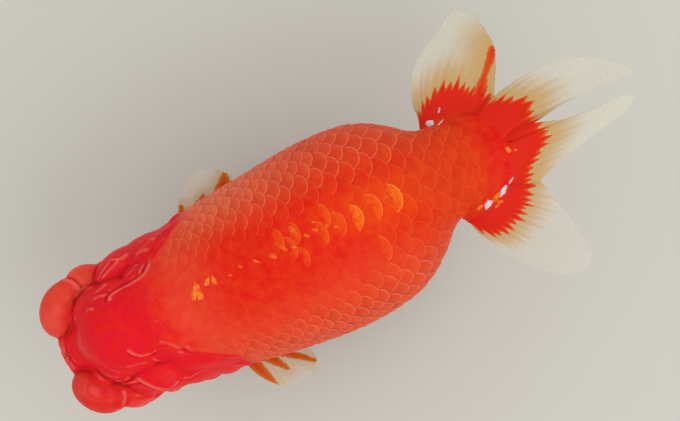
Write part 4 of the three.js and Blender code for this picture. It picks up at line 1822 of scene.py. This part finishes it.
@dataclass(frozen=True)
class Stand:
    """The display stand: an oval wooden plinth and two steel rods."""

    edge: float = 1.2 * MM
    reach_into_skin: float = 1.2 * MM

    def plinth(self) -> bpy.types.Object:
        """Makes the oval plinth, its top edge rounded over.

        Returns:
            The plinth.
        """
        low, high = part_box("stand_base")
        middle, size = (low + high) / 2, high - low
        bm = bmesh.new()
        rim = bmesh.ops.create_circle(bm, cap_ends=True, segments=144, radius=0.5)["verts"]
        oval = Matrix.Translation((middle.x, middle.y, low.z)) @ Matrix.Diagonal((size.x, size.y, 1, 1))
        bmesh.ops.transform(bm, matrix=oval, verts=rim)
        thicken(bm, (0, 0, size.z))
        bmesh.ops.recalc_face_normals(bm, faces=bm.faces)
        edges = [edge for edge in bm.edges if abs(edge.verts[0].co.z - edge.verts[1].co.z) < self.edge / 2]
        bmesh.ops.bevel(
            bm, geom=edges, offset=self.edge, offset_type="OFFSET", affect="EDGES", segments=5, profile=0.5,
            material=-1,
        )
        mesh = finish_bmesh(bm, "stand_plinth")
        mesh.set_sharp_from_angle(angle=math.radians(40))
        return new_object("stand_plinth", mesh)

    def rod(self, place: str) -> bpy.types.Object:
        """Makes one turned rod with its foot, from the plinth up into the belly.

        Args:
            place: Which rod, front or rear.

        Returns:
            The rod.
        """
        low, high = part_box(f"stand_rod_{place}")
        middle, foot = (low + high) / 2, (high.x - low.x) / 2
        shaft, foot_height = foot * 0.48, 1.6 * MM
        profile = [
            (foot, 0), (foot, foot_height * 0.75), (foot * 0.94, foot_height),
            (foot * 0.66, foot_height * 1.3), (shaft * 1.08, foot_height * 1.8), (shaft, foot_height * 2.4),
            (shaft, high.z - low.z + self.reach_into_skin),
        ]
        bm = bmesh.new()
        verts = [bm.verts.new((middle.x + r, middle.y, low.z + z)) for r, z in profile]
        edges = [bm.edges.new(pair) for pair in zip(verts, verts[1:])]
        bmesh.ops.spin(
            bm, geom=[*verts, *edges], cent=(middle.x, middle.y, 0), axis=(0, 0, 1), angle=2 * math.pi,
            steps=48, use_merge=True,
        )
        bmesh.ops.holes_fill(bm, edges=[edge for edge in bm.edges if edge.is_boundary], sides=0)
        bmesh.ops.recalc_face_normals(bm, faces=bm.faces)
        mesh = finish_bmesh(bm, f"stand_{place}_rod")
        mesh.set_sharp_from_angle(angle=math.radians(50))
        return new_object(f"stand_{place}_rod", mesh)

    def build(self) -> None:
        """Makes and dresses the whole stand."""
        put_on(self.plinth(), "plinth", WoodFinish().material(), "stand_base")
        steel = SteelFinish().material()
        for place in ("front", "rear"):
            put_on(self.rod(place), "rod", steel, f"stand_rod_{place}")


# ---------------------------------------------------------------- finishes


def paint(red: int, green: int, blue: int) -> tuple[float, float, float, float]:
    """A colour as it is seen on a screen, 0 to 255 each, turned into the renderer's numbers."""
    shares = (channel / 255 for channel in (red, green, blue))
    return (*(s / 12.92 if s <= 0.04045 else ((s + 0.055) / 1.055) ** 2.4 for s in shares), 1.0)


class Bench:
    """A node tree at work, with short ways to add and join nodes."""

    def __init__(self, tree: bpy.types.NodeTree) -> None:
        """Takes the tree to work on."""
        self.tree = tree

    def give(self, socket: bpy.types.NodeSocket, value: object) -> None:
        """Feeds an input socket.

        Args:
            socket: The input socket.
            value: A plain value, or the output socket that it takes its value from.
        """
        if isinstance(value, bpy.types.NodeSocket):
            self.tree.links.new(value, socket)
        else:
            socket.default_value = value

    def add(self, kind: str, inputs: dict | None = None, **settings: object) -> bpy.types.Node:
        """Adds a node.

        Args:
            kind: The node's type.
            inputs: For each input's name or number, a value or the socket that feeds it.
            **settings: The node's own settings.

        Returns:
            The node.
        """
        node = self.tree.nodes.new(kind)
        for key, value in settings.items():
            setattr(node, key, value)
        for key, value in (inputs or {}).items():
            self.give(node.inputs[key], value)
        return node

    def sum(
        self, operation: str, a: object, b: object = 0.0, c: object = 0.0, clamp: bool = False
    ) -> bpy.types.NodeSocket:
        """A Math node's result."""
        inputs = {0: a, 1: b, 2: c}
        return self.add("ShaderNodeMath", inputs, operation=operation, use_clamp=clamp).outputs[0]

    def times(self, product: object, *others: object) -> bpy.types.NodeSocket:
        """The product of several numbers.

        Args:
            product: The first of them.
            *others: The others.

        Returns:
            The socket that gives their product.
        """
        for other in others:
            product = self.sum("MULTIPLY", product, other)
        return product

    def vector(self, operation: str, *inputs: object) -> bpy.types.bpy_prop_collection:
        """The outputs of a Vector Math node."""
        return self.add("ShaderNodeVectorMath", dict(enumerate(inputs)), operation=operation).outputs

    def rise(self, value: object, low: float, high: float) -> bpy.types.NodeSocket:
        """A smooth rise from 0 at low to 1 at high."""
        inputs = {"Value": value, "From Min": low, "From Max": high}
        return self.add("ShaderNodeMapRange", inputs, interpolation_type="SMOOTHSTEP").outputs[0]

    def ramp(self, value: object, to: Row, over: Row = (0.0, 1.0)) -> bpy.types.NodeSocket:
        """A straight run between the two numbers of to, as the value runs between those of over."""
        inputs = {"Value": value, "From Min": over[0], "From Max": over[1], "To Min": to[0], "To Max": to[1]}
        return self.add("ShaderNodeMapRange", inputs).outputs[0]

    def fade(self, share: object, a: object, b: object) -> bpy.types.NodeSocket:
        """Turns one colour into another.

        Args:
            share: How much of the second there is.
            a: The first colour.
            b: The second.

        Returns:
            The mixed colour.
        """
        node = self.add("ShaderNodeMix", data_type="RGBA", clamp_factor=True)
        for number, value in ((0, share), (6, a), (7, b)):
            self.give(node.inputs[number], value)
        return node.outputs[2]

    def turned(self, colour: object, hue: float, value: object) -> bpy.types.NodeSocket:
        """A colour with its hue turned, 0.5 being no turn, and its brightness multiplied."""
        inputs = {"Hue": hue, "Value": value, "Color": colour}
        return self.add("ShaderNodeHueSaturation", inputs).outputs[0]

    def shade(self, name: str) -> bpy.types.NodeSocket:
        """A number stored on the mesh."""
        return self.add("ShaderNodeAttribute", attribute_name=name).outputs["Fac"]

    def place(self) -> bpy.types.NodeSocket:
        """The place on the object, in metres."""
        return self.add("ShaderNodeTexCoord").outputs["Object"]

    def stretched(self, scale: Row) -> bpy.types.NodeSocket:
        """The place on the object, stretched along its axes."""
        return self.add("ShaderNodeMapping", {"Vector": self.place(), "Scale": scale}).outputs[0]

    def speckle(self, size: float, detail: float, vector: object = None) -> bpy.types.NodeSocket:
        """Noise whose blotches are about so many metres wide, at the place on the object or at a vector."""
        inputs = {"Vector": vector or self.place(), "Scale": 1 / size, "Detail": detail}
        return self.add("ShaderNodeTexNoise", inputs).outputs[0]

    def bump(self, height: object, depth: float) -> bpy.types.NodeSocket:
        """A Bump node's normal, for heights from 0 to 1 and a depth in metres."""
        return self.add("ShaderNodeBump", {"Strength": 1.0, "Distance": depth, "Height": height}).outputs[0]


def new_group(
    name: str, inputs: dict[str, str], outputs: dict[str, str]
) -> tuple[Bench, bpy.types.Node, bpy.types.Node]:
    """Starts a shader node group.

    Args:
        name: The group's name.
        inputs: The kind of each input socket by its name.
        outputs: The kind of each output socket by its name.

    Returns:
        The bench for the group's tree, and its input and output nodes.
    """
    tree = bpy.data.node_groups.new(name, "ShaderNodeTree")
    for sockets, way in ((inputs, "INPUT"), (outputs, "OUTPUT")):
        for label, kind in sockets.items():
            tree.interface.new_socket(label, in_out=way, socket_type=f"NodeSocket{kind}")
    bench = Bench(tree)
    return bench, bench.add("NodeGroupInput"), bench.add("NodeGroupOutput")


@dataclass(frozen=True)
class Markings:
    """The red fish's colours, which its skin and its scales share; the paler right flank is partly painted
    light.
    """

    back: Row = paint(228, 50, 12)
    middle: Row = paint(242, 78, 12)
    flank: Row = paint(230, 70, 34)
    # paler right flank: partly the scales' pale edges, partly painted light on that side
    pale_flank: Row = paint(238, 112, 78)
    belly: Row = paint(236, 108, 58)
    nape: Row = paint(232, 72, 40)
    wen: Row = paint(230, 26, 14)
    lobe: Row = paint(224, 46, 26)
    right_lobe: Row = paint(232, 72, 44)
    stem: Row = paint(224, 62, 18)
    tail: Row = paint(224, 44, 12)

    def group(self) -> bpy.types.NodeTree:
        """Builds the node group, or finds it built.

        Returns:
            The group, which turns a place on the fish into its colour.
        """
        name = "fish_markings"
        if name in bpy.data.node_groups:
            return bpy.data.node_groups[name]
        kinds = {"Place": "Vector", "Wen": "Float", "Lobe": "Float"}
        bench, given, result = new_group(name, kinds, {"Color": "Color"})
        place = given.outputs["Place"]
        to_millimetres, shift = (1 / MM,) * 3, (0, MIDDLE_Y, -BELLY_HEIGHT)
        on_fish = bench.vector("MULTIPLY_ADD", place, to_millimetres, shift)["Vector"]
        x, y, z = bench.add("ShaderNodeSeparateXYZ", {0: on_fish}).outputs
        wide = bench.sum("ABSOLUTE", x)
        wander = bench.sum("MULTIPLY_ADD", bench.speckle(9 * MM, 4, place), 10, -5)
        ragged = bench.sum("ADD", y, wander)
        # painted light: the right flank paler, fading out towards the tail between y 60 and 96
        right_flank_light = bench.times(bench.rise(x, -9, -21), bench.rise(ragged, 96, 60), 0.8)
        rear_middle = bench.times(bench.rise(wide, 9, 2), bench.rise(ragged, 72, 98), 0.6)
        lobe = bench.fade(bench.rise(x, 4, -8), self.lobe, self.right_lobe)
        zones = (
            (bench.rise(wide, 7, 19), self.flank),
            (right_flank_light, self.pale_flank),
            (rear_middle, self.middle),
            (bench.rise(z, 15, 4), self.belly),
            (bench.rise(ragged, 60, 42), self.nape),
            (bench.rise(y, 106, 118), self.stem),
            (bench.rise(y, 127, 137), self.tail),
            (self._wen_share(bench, given.outputs["Wen"], x, y, ragged), self.wen),
            (given.outputs["Lobe"], lobe),
        )
        colour = self.back
        for share, zone in zones:
            colour = bench.fade(share, colour, zone)
        dapple = bench.rise(bench.speckle(2.4 * MM, 2, place), 0.25, 0.8)
        darker = bench.turned(colour, 0.495, 0.97)
        bench.give(result.inputs["Color"], bench.fade(dapple, darker, colour))
        return bench.tree

    def _wen_share(
        self, bench: Bench, growth: object, x: object, y: object, ragged: object
    ) -> bpy.types.NodeSocket:
        """Says how much of a place has the wen's red.

        Args:
            bench: The group's bench.
            growth: How much of the place is growth.
            x: How far to the fish's left it is, in millimetres.
            y: How far back it is.
            ragged: The same with an uneven edge.

        Returns:
            The share, 1 all over the front of the head and the gill covers.
        """
        wide = bench.sum("ABSOLUTE", x)
        top_or_side = bench.sum("MAXIMUM", bench.rise(ragged, 45, 29), bench.rise(wide, 9, 14))
        grown = bench.times(growth, top_or_side)
        front = bench.sum("MAXIMUM", grown, bench.rise(ragged, 27, 18))
        off_middle = bench.sum("ABSOLUTE", bench.sum("SUBTRACT", x, 0.8))
        beyond = bench.sum("SUBTRACT", off_middle, bench.times(y, GILL_SLOPE))
        gill = bench.times(bench.rise(beyond, -11.9, -11.1), bench.rise(y, 51.5, 50))
        return bench.sum("MAXIMUM", front, gill)

    def on(self, bench: Bench, wen: object = 0.0, lobe: object = 0.0) -> bpy.types.NodeSocket:
        """The fish's own colour, for a material."""
        inputs = {"Place": bench.place(), "Wen": wen, "Lobe": lobe}
        return bench.add("ShaderNodeGroup", inputs, node_tree=self.group()).outputs["Color"]


class Surface(Bench):
    """A material at work: its nodes and its surface shader."""

    def __init__(self, name: str, **constants: object) -> None:
        """Starts the material.

        Args:
            name: The material's name.
            **constants: Values for the shader's own sockets, spaces as underlines.
        """
        self.material = bpy.data.materials.new(name)
        self.material.use_nodes = True
        super().__init__(self.material.node_tree)
        self.shader = next(node for node in self.tree.nodes if node.type == "BSDF_PRINCIPLED")
        self.finish(**constants)

    def finish(self, **values: object) -> bpy.types.Material:
        """Feeds the surface shader.

        Args:
            **values: For each of the shader's sockets, spaces as underlines, a value or what feeds it.

        Returns:
            The material.
        """
        for key, value in values.items():
            self.give(self.shader.inputs[key.replace("_", " ")], value)
        return self.material


@dataclass(frozen=True)
class SkinFinish:
    """Wet, soft skin: the wen paler on raised folds, partly their own pale edges and partly painted
    highlight, and darker in sunken folds with painted shade; the rest smooth.
    """

    # the pale colour: fold edges and painted highlight on raised folds; the dark one: painted shade in sunken
    # folds
    ridge: Row = paint(236, 98, 92)
    crease: Row = paint(164, 10, 16)
    roughness: float = 0.45

    def material(self) -> bpy.types.Material:
        """Builds the material.

        Returns:
            The material, which reads the skin's wen, lobe and relief.
        """
        bench = Surface("wet_skin", Roughness=self.roughness, Specular_IOR_Level=0.08)
        wen, lobe, relief = (bench.shade(name) for name in ("wen", "lobe", "relief"))
        colour = Markings().on(bench, wen, lobe)
        # painted highlight on raised folds and painted shade in sunken ones, from the skin's relief
        raised = bench.times(bench.rise(relief, 0.1, 0.7), 0.8, wen)
        sunk = bench.times(bench.rise(relief, -0.1, -0.7), 0.75, wen)
        colour = bench.fade(raised, colour, self.ridge)
        colour = bench.fade(sunk, colour, self.crease)
        wandering = bench.sum("SUBTRACT", bench.speckle(3.4 * MM, 1), 0.5)
        lines = bench.rise(bench.sum("ABSOLUTE", wandering), 0.012, 0.002)
        patches = bench.rise(bench.speckle(8 * MM, 1), 0.48, 0.62)
        lines = bench.times(lines, wen, patches, bench.times(bench.rise(lobe, 0.5, 0.1), 0.18))
        grain = bench.speckle(0.5 * MM, 3)
        return bench.finish(
            Base_Color=bench.fade(lines, colour, self.ridge), Normal=bench.bump(grain, 0.05 * MM)
        )


@dataclass(frozen=True)
class ScaleFinish:
    """A scale: deep colour at its root, a pale line round its free edge, and on a few a painted golden glint.
    """

    rim: Row = paint(238, 138, 106)
    back_rim: Row = paint(248, 102, 44)
    root: Row = paint(206, 36, 16)
    # painted glint on a few scales: gold, brighter at the free edge
    gold: Row = paint(246, 104, 16)
    gold_rim: Row = paint(255, 142, 44)
    roughness: float = 0.45

    def material(self) -> bpy.types.Material:
        """Builds the material.

        Returns:
            The material, which reads the six numbers of each scale.
        """
        bench = Surface("scale", Roughness=self.roughness, Specular_IOR_Level=0.08)
        names = ("rim", "tip", "chance", "marked", "gold", "flank")
        rim, tip, chance, marked, gold, flank = (bench.shade(name) for name in names)
        colour = Markings().on(bench)
        deep = bench.times(bench.rise(tip, 0.92, 0.55), marked, 0.5)
        colour = bench.fade(deep, colour, self.root)
        varied = bench.turned(colour, 0.504, bench.sum("MULTIPLY_ADD", chance, 0.12, 0.95))
        colour = bench.fade(marked, colour, varied)
        edge = bench.rise(rim, 0.15, 0.95)
        shown = bench.ramp(marked, (0.08, 0.54))
        line = bench.fade(flank, self.back_rim, self.rim)
        colour = bench.fade(bench.times(edge, shown), colour, line)
        # painted glint: a few scales turn gold towards their free edge, raggedly
        bright = bench.fade(edge, self.gold, self.gold_rim)
        torn = bench.rise(bench.sum("ADD", tip, bench.speckle(1.3 * MM, 2)), 1.05, 1.4)
        colour = bench.fade(bench.times(gold, torn), colour, bright)
        grain = bench.speckle(0.45 * MM, 2)
        return bench.finish(Base_Color=colour, Normal=bench.bump(grain, 0.03 * MM))


@dataclass(frozen=True)
class FinFinish:
    """A fin: red at its root, amber and then clear beyond, with fine bony rays."""

    name: str
    red: Row = paint(222, 34, 10)
    fringe: Row = paint(220, 84, 12)
    amber: Row = paint(212, 174, 108)
    cream: Row = paint(224, 220, 200)
    bone: Row = paint(226, 222, 206)
    near_cover: float = 0.74  # how much of the web covers, next to the red
    far_cover: float = 0.32  # and at its edge
    fading: float = 14.0  # millimetres over which amber turns to cream

    def material(self) -> bpy.types.Material:
        """Builds the material.

        Returns:
            The material, which reads the fin's pigment and bone.
        """
        bench = Surface(self.name, Roughness=0.45, Specular_IOR_Level=0.14)
        pigment, bone = bench.shade("pigment"), bench.shade("bone")
        ragged = bench.sum("MULTIPLY_ADD", bench.speckle(0.8 * MM, 2), 1.2, -0.6)
        inside = bench.sum("ADD", pigment, ragged)
        away = bench.rise(inside, -1.0, -self.fading)
        rayed = bench.rise(bone, 0.3, 0.9)
        web = bench.fade(away, self.amber, self.cream)
        web = bench.fade(bench.times(rayed, away, 0.4), web, self.bone)
        cover = bench.ramp(inside, (self.far_cover, self.near_cover), (-self.fading, -1.0))
        cover = bench.sum("ADD", cover, bench.times(rayed, 0.08), clamp=True)
        red = bench.fade(bench.rise(inside, 1.8, 0.1), self.red, self.fringe)
        painted = bench.rise(inside, -0.3, 0.3)
        return bench.finish(
            Base_Color=bench.fade(painted, web, red), Alpha=bench.sum("MAXIMUM", painted, cover),
            Normal=bench.bump(bone, 0.03 * MM),
        )


@dataclass(frozen=True)
class EyeFinish:
    """A dark pupil in a gold and orange iris, under a clear glaze."""

    eye: Eye
    middle: Row
    aim: Row
    pupil: Row = paint(12, 9, 10)
    inner: Row = paint(232, 176, 84)
    outer: Row = paint(206, 74, 24)
    ring: Row = paint(96, 20, 16)

    def material(self, name: str) -> bpy.types.Material:
        """Builds the material.

        Args:
            name: Its name.

        Returns:
            The material, for an eyeball in its place.
        """
        bench = Surface(name, Roughness=0.12, Coat_Weight=1.0, Coat_Roughness=0.03)
        local = bench.vector("SUBTRACT", bench.place(), self.middle)["Vector"]
        front = bench.vector("DOT_PRODUCT", local, self.aim)["Value"]
        whole = bench.vector("DOT_PRODUCT", local, local)["Value"]
        off = bench.sum("SQRT", bench.sum("SUBTRACT", whole, bench.times(front, front)))
        off = bench.sum("DIVIDE", off, MM)
        streaks = bench.speckle(0.35 * MM, 4)
        ruffled = bench.sum("ADD", off, bench.sum("MULTIPLY_ADD", streaks, 0.9, -0.45))
        pupil, iris = self.eye.pupil, self.eye.iris
        colour = bench.fade(bench.rise(ruffled, pupil + 0.1, iris - 0.5), self.inner, self.outer)
        colour = bench.fade(bench.rise(off, iris - 0.45, iris), colour, self.ring)
        colour = bench.fade(bench.rise(off, pupil + 0.06, pupil - 0.06), colour, self.pupil)
        return bench.finish(Base_Color=colour)


@dataclass(frozen=True)
class FlakeFinish:
    """A painted glint: a patch painted bright where a shiny scale reflects light."""

    metal: Metal

    def material(self) -> bpy.types.Material:
        """Builds the material.

        Returns:
            The material.
        """
        # painted reflection colours: bright and deep gold, pearly white and orange
        bright, deep = {
            Metal.GOLD: (paint(255, 146, 50), paint(248, 92, 14)),
            Metal.PEARL: (paint(242, 232, 236), paint(222, 196, 206)),
            Metal.EMBER: (paint(246, 96, 22), paint(240, 76, 10)),
        }[self.metal]
        name = f"{self.metal.value}_flake"
        bench = Surface(name, Roughness=0.4, Coat_Weight=0.1, Specular_IOR_Level=0.15)
        cloudy = bench.rise(bench.speckle(0.7 * MM, 2), 0.35, 0.65)
        return bench.finish(Base_Color=bench.fade(cloudy, deep, bright))


@dataclass(frozen=True)
class WoodFinish:
    """Dark stained wood under a satin varnish, its grain along the plinth."""

    dark: Row = paint(46, 30, 22)
    light: Row = paint(92, 60, 40)

    def material(self) -> bpy.types.Material:
        """Builds the material.

        Returns:
            The material, its grain along y.
        """
        bench = Surface("stained_wood", Roughness=0.38, Coat_Weight=0.3, Coat_Roughness=0.2)
        stretched = bench.stretched((1, 0.09, 1))
        grain = bench.speckle(1.8 * MM, 6, stretched)
        bands = bench.speckle(7 * MM, 2, stretched)
        colour = bench.fade(bench.rise(bench.sum("ADD", grain, bands), 0.75, 1.25), self.dark, self.light)
        rough = bench.ramp(grain, (0.3, 0.5))
        return bench.finish(Base_Color=colour, Normal=bench.bump(grain, 0.08 * MM), Roughness=rough)


@dataclass(frozen=True)
class SteelFinish:
    """Brushed steel, turned on a lathe."""

    colour: Row = paint(188, 190, 192)
    dull: Row = paint(160, 162, 166)

    def material(self) -> bpy.types.Material:
        """Builds the material.

        Returns:
            The material, its fine lines round z.
        """
        bench = Surface("brushed_steel", Metallic=1.0)
        lines = bench.speckle(1.2 * MM, 4, bench.stretched((0.15, 0.15, 6)))
        return bench.finish(
            Base_Color=bench.fade(lines, self.dull, self.colour), Roughness=bench.ramp(lines, (0.24, 0.42)),
            Normal=bench.bump(lines, 0.02 * MM),
        )


# ---------------------------------------------------------------- studio


@dataclass(frozen=True)
class Studio:
    """The camera, the soft lamps and the pale floor."""

    target: Row = (-0.0039, 0.0177, 0.064)
    distance: float = 0.56
    tilt: float = 3.4  # degrees from straight down, towards the fish's left
    view_width: float = 0.1836  # what the picture's width holds at the target
    up: Row = (-0.902, 0.432, 0.0)
    floor_colour: Row = paint(207, 207, 197)
    backdrop: Row = paint(206, 206, 196)
    sky: float = 0.86
    key: float = 2.3
    key_way: Row = (0.943, 0.332)
    key_height: float = 52.0  # degrees above the floor
    key_size: float = 0.8
    key_distance: float = 0.95
    floor_size: float = 6.0

    def build(self) -> None:
        """Sets up the whole studio."""
        self._camera()
        self._lamps()
        self._floor()
        self._world()
        bpy.context.scene.view_settings.view_transform = "Standard"

    def _camera(self) -> None:
        """Looks down on the fish from above."""
        data = bpy.data.cameras.new("camera")
        data.sensor_fit = "HORIZONTAL"
        data.lens = data.sensor_width * self.distance / self.view_width
        camera = new_object("camera", data)
        lean = math.radians(self.tilt)
        back = Vector((math.sin(lean), 0, math.cos(lean)))
        up = Vector(self.up)
        up = (up - back * up.dot(back)).normalized()
        turn = Matrix((up.cross(back), up, back)).transposed().to_4x4()
        camera.matrix_world = Matrix.Translation(Vector(self.target) + back * self.distance) @ turn
        data.clip_start, data.clip_end = 0.01, 20
        bpy.context.scene.camera = camera

    def _lamps(self) -> None:
        """A broad soft key lamp to one side."""
        lift = math.radians(self.key_height)
        way = Vector((*(w * math.cos(lift) for w in self.key_way), math.sin(lift)))
        data = bpy.data.lights.new("key", "AREA")
        data.shape, data.size, data.energy = "DISK", self.key_size, self.key
        lamp = new_object("key", data)
        lamp.location = Vector(self.target) + way * self.key_distance
        lamp.rotation_euler = way.to_track_quat("Z", "Y").to_euler()

    def _floor(self) -> None:
        """A plain pale floor."""
        bm = bmesh.new()
        bmesh.ops.create_grid(bm, x_segments=1, y_segments=1, size=self.floor_size)
        floor = new_object("floor", finish_bmesh(bm, "floor"))
        plain = Surface("pale_floor", Base_Color=self.floor_colour, Roughness=0.9, Specular_IOR_Level=0.1)
        floor.data.materials.append(plain.material)

    def _world(self) -> None:
        """Even light from all round, with a pale backdrop behind the floor."""
        world = bpy.data.worlds.new("studio")
        world.use_nodes = True
        bpy.context.scene.world = world
        bench = Bench(world.node_tree)
        world.node_tree.nodes.clear()
        path = bench.add("ShaderNodeLightPath").outputs
        mirrored = bench.sum("MAXIMUM", path["Is Glossy Ray"], path["Is Transmission Ray"])
        seen = bench.sum("MAXIMUM", path["Is Camera Ray"], mirrored)
        light = bench.add("ShaderNodeBackground", {"Color": (1, 1, 1, 1), "Strength": self.sky}).outputs[0]
        backdrop = bench.add("ShaderNodeBackground", {"Color": self.backdrop, "Strength": 1.0}).outputs[0]
        mixed = bench.add("ShaderNodeMixShader", {0: seen, 1: light, 2: backdrop}).outputs[0]
        bench.add("ShaderNodeOutputWorld", {"Surface": mixed})


# ---------------------------------------------------------------- assembly

FLESH_NODES = ("head", "trunk", "tail_stem", "head_crown", "lip_upper", "lip_lower", "chin")
PAIRED_FLESH_NODES = ("nose_lobe", "cheek", "gill_cover")


@dataclass
class Goldfish:
    """The whole fish on its stand."""

    wen: Wen = field(default_factory=Wen)
    stand: Stand = Stand()
    flakes: Flakes = field(default_factory=Flakes)

    def build(self) -> None:
        """Builds and dresses every piece, in order."""
        head = self.wen.flesh()
        flesh = Flesh(head.growths + [fin.root() for fin in all_fins()])
        skin = Skin(flesh, self.wen.lips(head)).build()
        paired = [f"{node}_{side.label}" for node in PAIRED_FLESH_NODES for side in Side]
        put_on(skin, "skin", SkinFinish().material(), *FLESH_NODES, *paired)
        scales = ScaleCoat(flesh).build()
        scale_material = ScaleFinish().material()
        for coat in scales:
            put_on(coat, "skin", scale_material)
        fins = self._fins()
        for side in Side:
            ball = EyeBall(self.wen.eye, side)
            ball.dress(ball.build())
        for metal, piece in self.flakes.build([skin, *scales, *fins]):
            put_on(piece, "skin", FlakeFinish(metal).material())
        self.stand.build()

    def _fins(self) -> list[bpy.types.Object]:
        """Builds the fins and dresses them by kind.

        Returns:
            The ten pieces.
        """
        light = {"red": paint(206, 64, 6), "fringe": paint(206, 112, 26), "amber": paint(216, 198, 152)}
        finishes = {
            "tail": FinFinish("tail_web_right"),
            "tail_outer_left": FinFinish("tail_web_left", near_cover=0.55, far_cover=0.1, fading=10.0),
            "small": FinFinish("small_fin_web", near_cover=0.5, far_cover=0.36, fading=3.0, **light),
            "pectoral_fin_left": FinFinish(
                "faint_fin_web", near_cover=0.4, far_cover=0.08, fading=4.0, **light
            ),
        }
        webs = {name: finish.material() for name, finish in finishes.items()}
        pieces = []
        for fin in all_fins():
            piece = fin.build()
            usual = webs["tail" if fin.name.startswith("tail") else "small"]
            piece.name = f"{fin.name}_web"
            put_on(piece, "fin", webs.get(fin.name, usual), fin.name)
            pieces.append(piece)
        return pieces


def main() -> None:
    """Builds the fish, its stand and the studio."""
    logging.basicConfig(level=logging.INFO, format="%(name)s: %(message)s")
    Goldfish().build()
    Studio().build()


if __name__ == "__main__":
    main()
